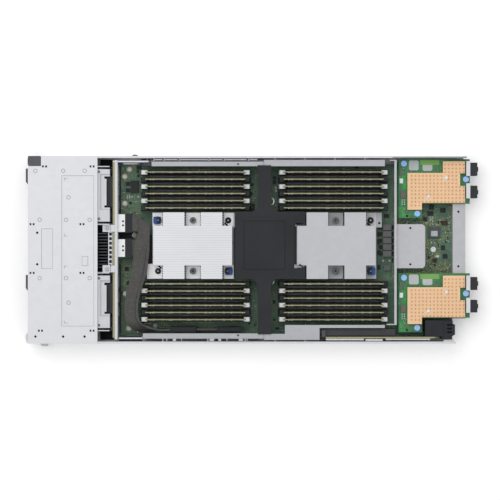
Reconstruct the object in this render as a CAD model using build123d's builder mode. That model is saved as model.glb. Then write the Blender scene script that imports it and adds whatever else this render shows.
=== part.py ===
import os
from build123d import *

os.makedirs("parts", exist_ok=True)

# Compute sled with its lid off. X runs from the drive end (front) to the plugs (rear),
# Y across the sled and Z up from the underside of the base pan. Sizes in millimetres.

# Shell
sled_height = 42.15
sled_width = 250.2
sheet = 1.2
thin_sheet = 0.8
wall_hem = 2.7
front_x = -298.9
cage_depth = 92.7
pan_rear_run = 94.7
short_wall_run = 80.0
ear_reach = 3.4
ear_width = 13.4
rear_corner_y = -92.6

# Clearances
slide_gap = 0.3
running_gap = 0.05
part_gap = 0.4

# Drives and their carriers
bay_offsets = (72.6, -69.35)
bay_width = 75.8
carrier_height = 16.6
carrier_pitch = 17.9
carrier_floor = 6.2
bezel_depth = 8.6
bezel_pocket = 5.6
bezel_rim = 1.4
drive_width = 69.85
drive_length = 100.0
drive_height = 14.8
drive_socket_shift = 4.6
drive_socket_width = 40.4
drive_socket_reach = 9.5
lever_pin_r = 1.2
button_travel = 2.2

# Release handle, its lock and the front panel
handle_low = 1.6
handle_high = 5.8
handle_bar = 5.6
handle_pin_r = 2.0
pivot_inset_x = 8.4
pivot_inset_y = 8.1
lock_length = 17.1
lock_width = 13.1
panel_thickness = 4.0
power_button_r = 4.4

# Backplane
backplane_x = -186.2
backplane_thickness = 2.8
backplane_top = 36.0
bracket_top = 38.0
header_width = 23.5
header_offsets = (35.7, 2.3)

# System board
board_gap = 2.2
board_thickness = 2.0
board_front_x = -179.4
board_rear_run = 81.2
board_half_width = 115.4

# Memory
bank_front_x = -142.475
module_length = 133.35
module_height = 31.25
module_thickness = 1.3
module_seat = 3.4
rows_per_side = 6
bank_to_shroud = 16.825
bank_to_partition = 16.125
last_row = 98.5
row_to_sink = 6.15
bank_mid_y = 5.3
socket_width = 6.5
socket_height = 8.8
cheek_thickness = 1.5
latch_reach = 3.525
latch_pivot_up = 4.1
heel_r = 2.4
latch_head_low = 13.0
latch_head_high = 24.0
chip_margin = 5.6
chip_bank = (1.1, 13.0)

# Processors and heatsinks
cpu_front_run = 63.075
cpu_rear_run = 79.4
cpu_mid_y = 5.5
package_size = (76.0, 56.5)
socket_stack = 4.0
package_stack = 4.0
heatsink_length = 105.4
heatsink_width = 89.1
heatsink_base = 4.4
heatsink_top = 38.6
lobe_inner = 10.9
lobe_outer = 39.7
fin_band = 52.6
fin_pitch = 6.3
fin_thickness = 0.6
fin_roof = 0.8
guide_x = 47.2
guide_y = 34.1
sink_screw_r = 4.2

# Air shroud
shroud_top = 40.0
shroud_wall = 1.6
shroud_strip_width = 17.6
shroud_strip_half = 112.7
shroud_to_bank = 17.025
shroud_to_sinks = (3.5, 1.3)
shroud_block_y = (-39.0, 50.8)
shroud_arm_gap = 1.9
shroud_arm_depth = 15.2

# Rear bracket, crossbar and mezzanine cards
partition_hem = 1.8
bracket_height = 38.2
plate_size = (38.6, 58.8)
plate_mid_y = 4.8
plate_level = 32.0
crossbar_run = 77.7
crossbar_top = 23.4
mezz_run = (4.8, 100.4)
mezz_leg_run = 36.3
mezz_y = (61.8, 121.7)
mezz_leg_y = 42.5
mezz_step = 153.2
mezz_thickness = 1.6
mezz_sink_lift = 1.8
mezz_sink_plate = 3.2
hole_r = 1.5

# Riser and power plug
riser_run = (93.3, 60.6)
riser_y = -116.3
riser_thickness = 1.9
riser_top = 36.4

# Derived values
half_width = sled_width / 2
wall_inside = half_width - sheet
cover_low = sled_height - sheet
cage_rear_x = front_x + cage_depth
board_low = sheet + board_gap
board_top = board_low + board_thickness
bezel_width = bay_width - 2 * slide_gap
bezel_back_x = front_x + bezel_depth
drive_front_x = bezel_back_x + slide_gap
drive_rear_x = drive_front_x + drive_length
bay_wall = bay_width / 2 + sheet
bay_front_x = bezel_back_x + 1.0
pivot_x = front_x + pivot_inset_x
pivot_y = pivot_inset_y - half_width
bank_aft_x = bank_front_x + module_length
strip_front_x = bank_aft_x + bank_to_shroud
shroud_strip = (strip_front_x, strip_front_x + shroud_strip_width)
rear_bank_x = shroud_strip[1] + shroud_to_bank
bank_centres = (bank_front_x + module_length / 2, rear_bank_x + module_length / 2)
latch_pivot_out = module_length / 2 + latch_reach
partition_x = rear_bank_x + module_length + bank_to_partition
cpu_centres = (bank_front_x + cpu_front_run, partition_x - cpu_rear_run)
shroud_block = (
    cpu_centres[0] + heatsink_length / 2 + shroud_to_sinks[0],
    cpu_centres[1] - heatsink_length / 2 - shroud_to_sinks[1],
)
shroud_arm_x = cpu_centres[1] - lobe_outer - shroud_arm_gap
pan_rear_x = partition_x + pan_rear_run
short_wall_rear_x = partition_x + short_wall_run
board_rear_x = partition_x + board_rear_run
crossbar_x = partition_x + crossbar_run
mezz_x = (partition_x + mezz_run[0], partition_x + mezz_run[1])
mezz_leg_x = partition_x + mezz_leg_run
riser_x = (partition_x - riser_run[0], partition_x + riser_run[1])
first_row = heatsink_width / 2 + row_to_sink
row_pitch = (last_row - first_row) / (rows_per_side - 1)
row_offsets = [first_row + i * row_pitch for i in range(rows_per_side)]
row_positions = [bank_mid_y + o for o in row_offsets] + [bank_mid_y - o for o in row_offsets]
base_low = board_top + socket_stack + package_stack
base_top = base_low + heatsink_base
carrier_levels = (carrier_floor, carrier_floor + carrier_pitch)
backplane_rear_x = backplane_x + backplane_thickness


def block(low, high, mode=Mode.ADD):
    """A box between two corners, in the part being built."""
    size = [b - a for a, b in zip(low, high)]
    with Locations(low):
        Box(*size, align=(Align.MIN, Align.MIN, Align.MIN), mode=mode)


def outline(points, level, height, mode=Mode.ADD):
    """A flat outline drawn in plan at a level and raised by a height."""
    with BuildSketch(Plane.XY.offset(level)) as plan:
        with BuildLine():
            Polyline(*points, close=True)
        make_face()
    extrude(plan.sketch, amount=height, mode=mode)


def faceted(rings):
    """A solid of flat facets through a row of four-cornered sections."""
    skin = [Face(Wire.make_polygon(rings[0])), Face(Wire.make_polygon(rings[-1]))]
    for a, b in zip(rings, rings[1:]):
        for i in range(4):
            j = (i + 1) % 4
            skin.append(Face(Wire.make_polygon([a[i], a[j], b[j]])))
            skin.append(Face(Wire.make_polygon([a[i], b[j], b[i]])))
    return Solid(Shell(skin))


def save(builder, label):
    builder.part.label = label
    export_step(builder.part, f"parts/{label}.step")


# Base pan: folded tray with the board's pressed standoffs
pan_profile = [
    (-half_width, 0),
    (half_width, 0),
    (half_width, cover_low),
    (half_width - wall_hem, cover_low),
    (half_width - wall_hem, cover_low - sheet),
    (wall_inside, cover_low - sheet),
    (wall_inside, sheet),
    (-wall_inside, sheet),
    (-wall_inside, cover_low - sheet),
    (wall_hem - half_width, cover_low - sheet),
    (wall_hem - half_width, cover_low),
    (-half_width, cover_low),
]
standoff_spots = [
    (board_front_x + 10, y) for y in (-100, -58, 60, 100)
] + [
    (strip_front_x + 16, -100), (strip_front_x + 8, 100), (strip_front_x + 10, 5)
] + [
    (partition_x + run, y) for run, y in ((-6, -60), (-6, 70), (50, 0), (58, 90), (58, -78))
]
with BuildPart() as base_pan:
    with BuildSketch(Plane.YZ.offset(front_x)):
        with BuildLine():
            Polyline(*pan_profile, close=True)
        make_face()
    extrude(amount=pan_rear_x - front_x)
    low_corners = base_pan.edges().filter_by(Axis.X).group_by(Axis.Z)[0]
    fillet(low_corners, sheet * 1.4)
    block((short_wall_rear_x, -half_width, 0), (pan_rear_x, rear_corner_y, cover_low), Mode.SUBTRACT)
    block((front_x, -half_width, sheet), (pivot_x + 22, -wall_inside, handle_high + 1), Mode.SUBTRACT)
    block(
        (front_x, half_width - wall_hem, sheet),
        (front_x + lock_length + part_gap, half_width, cover_low),
        Mode.SUBTRACT,
    )
    outline(
        [
            (front_x, -half_width),
            (front_x, ear_width - half_width),
            (front_x - 2.2, ear_width - half_width),
            (front_x - ear_reach, ear_width - half_width - 2.0),
            (front_x - ear_reach, 4.0 - half_width),
            (front_x - 1.4, 0.6 - half_width),
        ],
        22,
        17,
    )
    with BuildSketch(Plane.XZ.offset(-half_width)):
        with Locations((40, 34)):
            with GridLocations(62, 1, 7, 1):
                Rectangle(16, 3.2)
    extrude(amount=sled_width, mode=Mode.SUBTRACT)
    with BuildSketch(Plane.XY.offset(sheet)):
        with Locations(*standoff_spots):
            Rectangle(5.4, 5.4)
    extrude(amount=board_gap)
save(base_pan, "base_pan")

# Cover plate over the drive cage, with its pressed panels and screw holes
cover_mid_x = front_x + cage_depth / 2
with BuildPart() as drive_cage_cover:
    outline(
        [
            (front_x, -half_width),
            (cage_rear_x, -half_width),
            (cage_rear_x, half_width),
            (front_x + lock_length + part_gap, half_width),
            (front_x + lock_length + part_gap, half_width - lock_width - part_gap),
            (front_x, half_width - lock_width - part_gap),
        ],
        cover_low,
        sheet,
    )
    with BuildSketch(Plane.XY.offset(sled_height)):
        with Locations((cover_mid_x + 20.2, -1.5)):
            Rectangle(42.8, 0.802 * sled_width)
        with Locations((cover_mid_x - 20.8, 1.5)):
            Rectangle(14.7, 53.1)
    extrude(amount=-0.45, mode=Mode.SUBTRACT)
    with BuildSketch(Plane.XY.offset(sled_height - 0.45)):
        with Locations((cover_mid_x + 29.7, -15)):
            Rectangle(7.7, 12.1)
    extrude(amount=0.45)
    with BuildSketch(Plane.XY.offset(cover_low)):
        with Locations((front_x + 12.5, 22.7), (front_x + 12.5, -19.4)):
            RegularPolygon(1.7, 8)
        with Locations((front_x + 10.1, -115.7), (front_x + 47, -115.7), (front_x + 75.6, -115.7)):
            RegularPolygon(1.7, 8)
        for bay, runs in zip(bay_offsets, (((5.6, 72.1), (22.2, 85.6)), ((16.8, 85.6), (5.6, 72.1)))):
            for side, pair in zip((-1, 1), runs):
                for along in pair:
                    with Locations((front_x + along, bay + side * (bay_wall - sheet / 2))):
                        with GridLocations(4.2, 1, 2, 1):
                            Rectangle(2.4, 2.8)
    extrude(amount=sheet, mode=Mode.SUBTRACT)
save(drive_cage_cover, "drive_cage_cover")

# Cage: four bay walls, shelves, the screw tabs and the perforated brace between the bays
inner_high = bay_offsets[0] - bay_wall
inner_low = bay_offsets[1] + bay_wall
bay_rear_x = drive_rear_x - 0.4
brace_rear_x = backplane_x - part_gap
with BuildPart() as drive_cage_frame:
    for bay in bay_offsets:
        for side in (-1, 1):
            face = bay + side * bay_width / 2
            outer = bay + side * bay_wall
            block((bay_front_x, min(face, outer), sheet), (bay_rear_x, max(face, outer), cover_low))
            for level in carrier_levels:
                rim = face - side * 3.2
                shelf = level - slide_gap - thin_sheet
                block(
                    (bay_front_x, min(face, rim), shelf),
                    (bay_rear_x - 8, max(face, rim), shelf + thin_sheet),
                )
        tie = carrier_floor - slide_gap - thin_sheet
        block(
            (bay_front_x + 8, bay - bay_width / 2, tie),
            (bay_front_x + 70, bay + bay_width / 2, tie + thin_sheet),
        )
    brace_front_x = bay_rear_x - 1.8
    block((brace_front_x, inner_low, 35.4), (brace_rear_x, inner_high, 36.6))
    for edge, turn in ((inner_high, -1), (inner_low, 1)):
        tab = edge + turn * 9.6
        block((bay_rear_x - 9.2, min(edge, tab), 36.6), (bay_rear_x + 1.0, max(edge, tab), 37.8))
    with BuildSketch(Plane.XY.offset(35.4)):
        with Locations(((brace_front_x + brace_rear_x) / 2, (inner_high + inner_low) / 2 - 1.8)):
            with GridLocations(1, 6.05, 1, 8):
                Rectangle(3.2, 3.7)
    extrude(amount=sheet, mode=Mode.SUBTRACT)
    with BuildSketch(Plane.XY.offset(35.4)):
        with Locations((bay_rear_x - 3.2, inner_high - 4.6), (bay_rear_x - 3.2, inner_low + 4.6)):
            RegularPolygon(1.4, 6)
    extrude(amount=3, mode=Mode.SUBTRACT)
save(drive_cage_frame, "drive_cage_frame")

# Air duct between the bays: tray with upright vanes
duct_front_x = bay_front_x + 0.6
duct_rear_x = brace_front_x - 1.2
duct_high = inner_high - part_gap
duct_low = inner_low + part_gap
duct_mid = (duct_high + duct_low) / 2
with BuildPart() as vent_duct:
    block((duct_front_x, duct_low, sheet), (duct_rear_x, duct_high, sheet + 1.2))
    block((duct_front_x, duct_low, sheet), (duct_rear_x, duct_low + 1.2, 35))
    block((duct_front_x, duct_high - 1.2, sheet), (duct_rear_x, duct_high, 35))
    with BuildSketch(Plane.XY.offset(sheet + 1.2)):
        with Locations(((duct_front_x + duct_rear_x) / 2 + 5, duct_mid - 2.5)):
            with GridLocations(1, 4.1, 1, 12):
                Rectangle(duct_rear_x - duct_front_x - 10, 1.5)
    extrude(amount=31)
save(vent_duct, "vent_duct")

# Front panel with its honeycomb, ports and button hole
panel_low = carrier_floor
panel_high = cover_low - slide_gap
panel_back_x = front_x + panel_thickness
panel_plane = Plane(origin=(front_x, 0, 0), x_dir=(0, -1, 0), z_dir=(-1, 0, 0))
button_y = duct_high - 9.5
button_z = panel_high - 9.5
with BuildPart() as front_panel:
    block((front_x, duct_low, panel_low), (panel_back_x, duct_high, panel_high))
    block((panel_back_x, duct_low, panel_low), (duct_front_x, duct_low + 1.6, 33))
    block((panel_back_x, duct_high - 1.6, panel_low), (duct_front_x, duct_high, 33))
    with BuildSketch(panel_plane):
        with Locations((-duct_mid + 9.5, (panel_low + panel_high) / 2)):
            with HexLocations(4.1, 4, 3):
                RegularPolygon(3.7, 6, rotation=30)
        with Locations((-button_y, button_z)):
            RegularPolygon(power_button_r + slide_gap, 20, major_radius=False)
        with Locations((-button_y, panel_low + 12.4)):
            Rectangle(13.2, 5.6)
        with Locations((-button_y, panel_low + 5.4)):
            Rectangle(8.2, 3.0)
    extrude(amount=-panel_thickness, mode=Mode.SUBTRACT)
    block(
        (panel_back_x - 1.0, button_y - 7.5, panel_low + 3.0),
        (panel_back_x, button_y + 7.5, panel_low + 16.0),
    )
    block(
        (front_x + 0.8, button_y - 5.6, panel_low + 11.6),
        (panel_back_x - 1.0, button_y + 5.6, panel_low + 13.2),
    )
save(front_panel, "front_panel")

with BuildPart() as power_button:
    with BuildSketch(Plane.YZ.offset(front_x - 0.9)):
        with Locations((button_y, button_z)):
            RegularPolygon(power_button_r, 20)
    extrude(amount=panel_thickness + 0.2)
save(power_button, "power_button")

# Handle lock at the upper front corner and its push button
lock_low_y = half_width - lock_width
lock_mid_y = half_width - lock_width / 2
lock_button = (8.4, 20.0)
lock_button_z = 24.0
with BuildPart() as latch_housing:
    block((front_x, lock_low_y, sheet), (front_x + lock_length, half_width, sled_height))
    chamfer(latch_housing.edges().filter_by(Axis.Z), 0.8)
    block(
        (front_x, lock_mid_y - lock_button[0] / 2 - slide_gap, lock_button_z - lock_button[1] / 2 - slide_gap),
        (front_x + 11, lock_mid_y + lock_button[0] / 2 + slide_gap, lock_button_z + lock_button[1] / 2 + slide_gap),
        Mode.SUBTRACT,
    )
    block(
        (front_x, lock_low_y, handle_low - slide_gap),
        (front_x + handle_bar + 1, lock_low_y + 4, handle_high + slide_gap),
        Mode.SUBTRACT,
    )
save(latch_housing, "latch_housing")

with BuildPart() as release_button:
    with BuildSketch(Plane.YZ.offset(front_x - 1.4)):
        with Locations((lock_mid_y, lock_button_z)):
            Rectangle(lock_button[0], lock_button[1])
    extrude(amount=9)
    chamfer(release_button.edges().group_by(Axis.X)[0], 0.6)
save(release_button, "release_button")

# Release handle: bar under the carriers, pivot end and the cam tooth that draws the sled in
handle_tip_y = lock_low_y + 3.2
ear_x = front_x - 3.4
with BuildPart() as release_handle:
    with BuildSketch(Plane.XY.offset(handle_low)):
        with BuildLine():
            Polyline(
                (front_x, handle_tip_y),
                (front_x, pivot_y + 8),
                (ear_x, pivot_y + 5.6),
                (ear_x, -half_width + 3.8),
                (front_x - 0.4, -half_width),
                (pivot_x + 2, -half_width),
                (pivot_x + 6.4, -half_width - 5.2),
                (pivot_x + 13.6, -half_width - 5.2),
                (pivot_x + 15.6, -half_width + 0.6),
                (pivot_x + 6.5, pivot_y + 4.5),
                (front_x + handle_bar, pivot_y + 8),
                (front_x + handle_bar, handle_tip_y),
                close=True,
            )
        make_face()
        with Locations((pivot_x, pivot_y)):
            Circle(handle_pin_r + running_gap, mode=Mode.SUBTRACT)
    extrude(amount=handle_high - handle_low)
    chamfer(release_handle.edges().filter_by(Axis.Z).group_by(Axis.Y)[-1], 1.0)
save(release_handle, "release_handle")

with BuildPart() as handle_pivot_pin:
    with BuildSketch(Plane.XY.offset(sheet)):
        with Locations((pivot_x, pivot_y)):
            Circle(handle_pin_r)
    extrude(amount=handle_high + slide_gap - sheet)
    with BuildSketch(Plane.XY.offset(handle_high + slide_gap)):
        with Locations((pivot_x, pivot_y)):
            RegularPolygon(handle_pin_r + 1.8, 16)
    extrude(amount=1.4)
save(handle_pivot_pin, "handle_pivot_pin")

# Four drive carriers, two bays of two, each with its drive, lever and release button
lever_pin_in = 2.6
lever_end_r = 2.3
lever_split = 14.2


def build_carrier(bay, level):
    pin_y = bay - bezel_width / 2 + bezel_rim + 2.8
    with BuildPart() as carrier:
        low = (front_x, bay - bezel_width / 2, level)
        high = (bezel_back_x, bay + bezel_width / 2, level + carrier_height)
        block(low, high)
        block(
            (front_x, low[1] + bezel_rim, level + bezel_rim),
            (front_x + bezel_pocket, high[1] - bezel_rim, high[2] - bezel_rim),
            Mode.SUBTRACT,
        )
        with BuildSketch(Plane.YZ.offset(front_x)):
            with Locations((bay - 4, level + carrier_height / 2)):
                with GridLocations(14.2, 5.2, 4, 2):
                    Rectangle(11.8, 3.6)
        extrude(amount=bezel_depth, mode=Mode.SUBTRACT)
        with BuildSketch(Plane.XY.offset(level + bezel_rim)):
            with Locations((front_x + lever_pin_in, pin_y)):
                RegularPolygon(lever_pin_r, 12)
        extrude(amount=carrier_height - 2 * bezel_rim)
        for side in (-1, 1):
            inner = bay + side * (drive_width / 2 + slide_gap)
            outer = bay + side * (bezel_width / 2 - 0.9)
            block(
                (bezel_back_x, min(inner, outer), level + 0.4),
                (drive_rear_x - 9, max(inner, outer), level + 11.6),
            )
    return carrier


def build_lever(bay, level):
    pin_y = bay - bezel_width / 2 + bezel_rim + 2.8
    low = level + bezel_rim + part_gap
    tall = carrier_height - 2 * (bezel_rim + part_gap)
    tip_y = bay + lever_split
    with BuildPart() as lever:
        with BuildSketch(Plane.XY.offset(low)):
            with Locations((front_x + lever_pin_in, pin_y)):
                RegularPolygon(lever_end_r, 8, major_radius=False, rotation=22.5)
            with Locations((front_x + lever_pin_in, (pin_y + tip_y) / 2)):
                Rectangle(2 * lever_end_r, tip_y - pin_y)
            with Locations((front_x + lever_pin_in, pin_y)):
                RegularPolygon(lever_pin_r + running_gap, 12, major_radius=False, mode=Mode.SUBTRACT)
        extrude(amount=tall)
        with BuildSketch(Plane.YZ.offset(front_x - 1)):
            with Locations((bay - 4.5, level + carrier_height / 2)):
                with GridLocations(12.4, 4.6, 3, 2):
                    Rectangle(10.2, 2.8)
        extrude(amount=bezel_pocket, mode=Mode.SUBTRACT)
    return lever


def build_carrier_button(bay, level):
    low = level + bezel_rim + part_gap
    high = level + carrier_height - bezel_rim - part_gap
    near = bay + lever_split + 0.7
    far = bay + bezel_width / 2 - bezel_rim - part_gap
    nose = front_x - 3.2
    back = front_x + bezel_pocket - button_travel - slide_gap
    with BuildPart() as button:
        outline(
            [(nose, far - 0.6), (nose, near + 3.2), (nose + 2.6, near), (back, near), (back, far), (nose + 0.6, far)],
            low,
            high - low,
        )
    return button


def build_drive(bay, level):
    low = level + 0.7
    notch = bay + drive_socket_shift
    with BuildPart() as drive:
        block(
            (drive_front_x, bay - drive_width / 2, low),
            (drive_rear_x, bay + drive_width / 2, low + drive_height),
        )
        block(
            (drive_rear_x - 13.2, notch - 24, low + drive_height - 0.9),
            (drive_rear_x, notch + 24, low + drive_height),
            Mode.SUBTRACT,
        )
        block(
            (drive_rear_x - 7.2, notch - drive_socket_width / 2 - 0.6, low),
            (drive_rear_x, notch + drive_socket_width / 2 + 0.6, low + drive_height),
            Mode.SUBTRACT,
        )
    return drive


bay_number = 0
for bay in bay_offsets:
    for level in reversed(carrier_levels):
        bay_number += 1
        save(build_carrier(bay, level), f"drive_carrier_{bay_number}")
        save(build_lever(bay, level), f"carrier_lever_{bay_number}")
        save(build_carrier_button(bay, level), f"carrier_button_{bay_number}")
        save(build_drive(bay, level), f"drive_{bay_number}")

# Backplane: upright board, its bracket, drive sockets and ribbon headers
backplane_low_y = -half_width + 7.4
backplane_high_y = half_width - 5.4
with BuildPart() as backplane_board:
    block((backplane_x, backplane_low_y, sheet), (backplane_rear_x, backplane_high_y, backplane_top))
    with BuildSketch(Plane.YZ.offset(backplane_x)):
        with Locations((duct_mid, 17)):
            with GridLocations(12, 1, 5, 1):
                Rectangle(8, 24)
    extrude(amount=backplane_thickness, mode=Mode.SUBTRACT)
    for tab in (inner_high - 4.8, inner_low + 4.8):
        block(
            (backplane_x, tab - 3.4, backplane_top - 3),
            (backplane_rear_x, tab + 3.4, backplane_top),
            Mode.SUBTRACT,
        )
save(backplane_board, "backplane_board")

bracket_rear_x = backplane_rear_x + 3.7
header_low = 14.0
header_high = 34.0
with BuildPart() as backplane_bracket:
    with BuildSketch(Plane.XZ.offset(-backplane_high_y)):
        with BuildLine():
            Polyline(
                (backplane_rear_x, bracket_top - sheet),
                (bracket_rear_x - sheet, bracket_top - sheet),
                (bracket_rear_x - sheet, sheet),
                (bracket_rear_x, sheet),
                (bracket_rear_x, bracket_top),
                (backplane_rear_x, bracket_top),
                close=True,
            )
        make_face()
    extrude(amount=backplane_high_y - backplane_low_y + 2.0)
    for header in header_offsets:
        block(
            (backplane_rear_x, header - header_width / 2 - 0.6, header_low - 0.6),
            (bracket_rear_x, header + header_width / 2 + 0.6, header_high + 0.6),
            Mode.SUBTRACT,
        )
    with BuildSketch(Plane.YZ.offset(backplane_rear_x)):
        for centre in (bay_offsets[0] + 8, bay_offsets[1] + 6):
            with Locations((centre, 19)):
                with GridLocations(20, 1, 3, 1):
                    Rectangle(14, 20)
    extrude(amount=10, mode=Mode.SUBTRACT)
save(backplane_bracket, "backplane_bracket")

with BuildPart() as drive_sockets:
    for bay in bay_offsets:
        for level in carrier_levels:
            mid_y = bay + drive_socket_shift
            mid_z = level + 0.7 + drive_height / 2
            with BuildSketch(Plane.YZ.offset(backplane_x)):
                with Locations((mid_y, mid_z)):
                    Rectangle(drive_socket_width, 8.4)
            extrude(amount=-3.2)
            with BuildSketch(Plane.YZ.offset(backplane_x - 3.2)):
                with Locations((mid_y, mid_z)):
                    Rectangle(drive_socket_width - 2, 6.0)
            extrude(amount=3.2 - drive_socket_reach)
save(drive_sockets, "drive_sockets")

header_rear_x = backplane_rear_x + 13.4
with BuildPart() as ribbon_headers:
    for header in header_offsets:
        block(
            (backplane_rear_x, header - header_width / 2, header_low),
            (header_rear_x, header + header_width / 2, header_high),
        )
        with BuildSketch(Plane.XY.offset(header_high)):
            with Locations((header_rear_x - 2.6, header - 0.3)):
                with GridLocations(1, 5.4, 1, 2):
                    Rectangle(2.0, 2.4)
        extrude(amount=-3, mode=Mode.SUBTRACT)
save(ribbon_headers, "ribbon_headers")

plug_rear_x = header_rear_x + 9.4
end_plugs = (
    (bank_front_x + 32.9, bank_front_x + 67.7, -111.0, -102.8),
    (strip_front_x - 54.3, strip_front_x - 21.5, -110.0, -103.6),
)
end_plug_top = 31.0
with BuildPart() as ribbon_plugs:
    for header in header_offsets:
        block(
            (header_rear_x, header - header_width / 2 - 0.9, header_low + 1.5),
            (plug_rear_x, header + header_width / 2 + 0.9, header_high - 1.5),
        )
    for left, right, low, high in end_plugs:
        block((left, low, board_top), (right, high, end_plug_top))
        block((left + 3, low + 1.6, end_plug_top), (right - 3, high - 1.6, end_plug_top + 1.6))
save(ribbon_plugs, "ribbon_plugs")

# Flat ribbon: two tails from the headers, the flat run, the turn on edge and the run to the end plugs
ribbon_level = 30.6
ribbon_tail = 1.4
ribbon_thickness = 2.6
ribbon_width = 18.0
run_level = ribbon_level + ribbon_tail
flat_run = [
    (-150.6, 42.6), (-136.8, 34.1), (-137.3, -0.3), (-140.2, -26), (-143.6, -43), (-150.2, -60.5), (-152.6, -78),
    (-170.6, -78), (-168.7, -60.5), (-162.6, -36), (-159.0, -13.7), (-158.4, 8), (-150.6, 26),
]
turn = [
    ((-161.6, -78.0), (0, -1), 0, 33.3),
    ((-158.4, -97.0), (0.5, -1), 12, 32.0),
    ((-144.6, -106.2), (1, -0.25), 60, 25.6),
    ((-126.0, -107.0), (1, 0), 90, 22.6),
    ((end_plugs[0][0], -107.0), (1, 0), 90, 22.6),
]
turn_rings = []
for spot, heading, tilt, level in turn:
    flow = Vector(heading[0], heading[1], 0).normalized()
    across = Vector(-flow.Y, flow.X, 0).rotate(Axis((0, 0, 0), (flow.X, flow.Y, 0)), tilt)
    section = Plane(origin=(*spot, level), x_dir=across, z_dir=flow)
    half = (ribbon_width / 2, ribbon_thickness / 2)
    corners = [(i * half[0], j * half[1], 0) for i, j in ((-1, -1), (1, -1), (1, 1), (-1, 1))]
    turn_rings.append([section.from_local_coords(corner) for corner in corners])
with BuildPart() as ribbon_cable:
    for header, level in zip(header_offsets, (ribbon_level, ribbon_level)):
        block(
            (plug_rear_x, header - header_width / 2 + 0.6, level),
            (plug_rear_x + 11.5, header + header_width / 2 - 0.6, level + ribbon_tail),
        )
    outline(flat_run, run_level, ribbon_thickness)
    add(faceted(turn_rings))
    strand_mid = (end_plugs[1][2] + end_plugs[1][3]) / 2
    block((end_plugs[0][1], strand_mid - 1.6, 13), (end_plugs[1][0], strand_mid + 1.6, 29))
save(ribbon_cable, "ribbon_cable")

# System board
with BuildPart() as system_board:
    outline(
        [
            (board_front_x, -board_half_width),
            (short_wall_rear_x - 1.3, -board_half_width),
            (short_wall_rear_x - 1.3, rear_corner_y),
            (board_rear_x, rear_corner_y),
            (board_rear_x, board_half_width - 8),
            (board_rear_x - 8, board_half_width),
            (board_front_x, board_half_width),
        ],
        board_low,
        board_thickness,
    )
save(system_board, "system_board")

# Memory: sockets with slotted bodies and end cheeks, modules, their chips and the ejector latches
socket_spots = [(x, y) for x in bank_centres for y in row_positions]
cheek_out = latch_pivot_out + 4.0
cheek_in = module_length / 2 - 1.4
with BuildPart() as dimm_sockets:
    with BuildSketch(Plane.XY.offset(board_top)):
        with Locations(*socket_spots):
            Rectangle(2 * cheek_in, socket_width)
            with GridLocations(cheek_out + cheek_in, socket_width - cheek_thickness, 2, 2):
                Rectangle(cheek_out - cheek_in, cheek_thickness)
    extrude(amount=socket_height)
    with BuildSketch(Plane.XY.offset(board_top + module_seat)):
        with Locations(*socket_spots):
            Rectangle(2 * cheek_in, module_thickness + 0.3)
    extrude(amount=socket_height, mode=Mode.SUBTRACT)
save(dimm_sockets, "dimm_sockets")

with BuildPart() as dimm_modules:
    with BuildSketch(Plane.XY.offset(board_top + module_seat)):
        with Locations(*socket_spots):
            Rectangle(module_length, module_thickness)
    extrude(amount=module_height)
save(dimm_modules, "dimm_modules")

chip_level = board_top + module_seat + module_height - 3.0 - chip_bank[1]
chip_offset = (module_thickness + chip_bank[0]) / 2
with BuildPart() as dimm_chips:
    with BuildSketch(Plane.XY.offset(chip_level)):
        for x, y in socket_spots:
            with Locations((x, y)):
                with GridLocations(1, 2 * chip_offset, 1, 2):
                    Rectangle(module_length - 2 * chip_margin, chip_bank[0])
    extrude(amount=chip_bank[1])
save(dimm_chips, "dimm_chips")


def build_latches(bank, end):
    """The twelve latches of one bank end, which share a hinge line across the sled."""
    pivot = bank + end * latch_pivot_out
    level = board_top + latch_pivot_up
    head_in = bank + end * (module_length / 2 - 2.1)
    head_out = bank + end * (latch_pivot_out + 3.4)
    head_tip = bank + end * (latch_pivot_out + 2.0)
    stem_half = socket_width / 2 - cheek_thickness - slide_gap
    head_half = socket_width / 2 - 0.4
    head_low = board_top + latch_head_low
    head_high = board_top + latch_head_high
    with BuildPart() as latches:
        with BuildSketch(Plane.XZ):
            with BuildLine():
                Polyline(
                    (pivot - heel_r, level - heel_r),
                    (pivot + heel_r, level - heel_r),
                    (pivot + heel_r, head_low + 1),
                    (pivot - heel_r, head_low + 1),
                    close=True,
                )
            make_face()
        extrude(amount=stem_half, both=True)
        with BuildSketch(Plane.XZ):
            with BuildLine():
                Polyline(
                    (head_in, head_low + 2.4),
                    (head_in + end * 2.2, head_low),
                    (head_out, head_low),
                    (head_tip, head_high),
                    (head_in, head_high),
                    close=True,
                )
            make_face()
        extrude(amount=head_half, both=True)
        slit_in = head_in - end * 0.5
        slit_out = bank + end * (module_length / 2 + part_gap)
        block(
            (min(slit_in, slit_out), -module_thickness / 2 - slide_gap, head_low - 1),
            (max(slit_in, slit_out), module_thickness / 2 + slide_gap, head_high + 1),
            Mode.SUBTRACT,
        )
    with BuildPart() as group:
        with Locations(*[(0, y, 0) for y in row_positions]):
            add(latches.part)
    return group


for bank, bank_name in zip(bank_centres, ("front", "rear")):
    for end, end_name in ((-1, "fore"), (1, "aft")):
        save(build_latches(bank, end), f"dimm_latches_{bank_name}_{end_name}")

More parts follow.
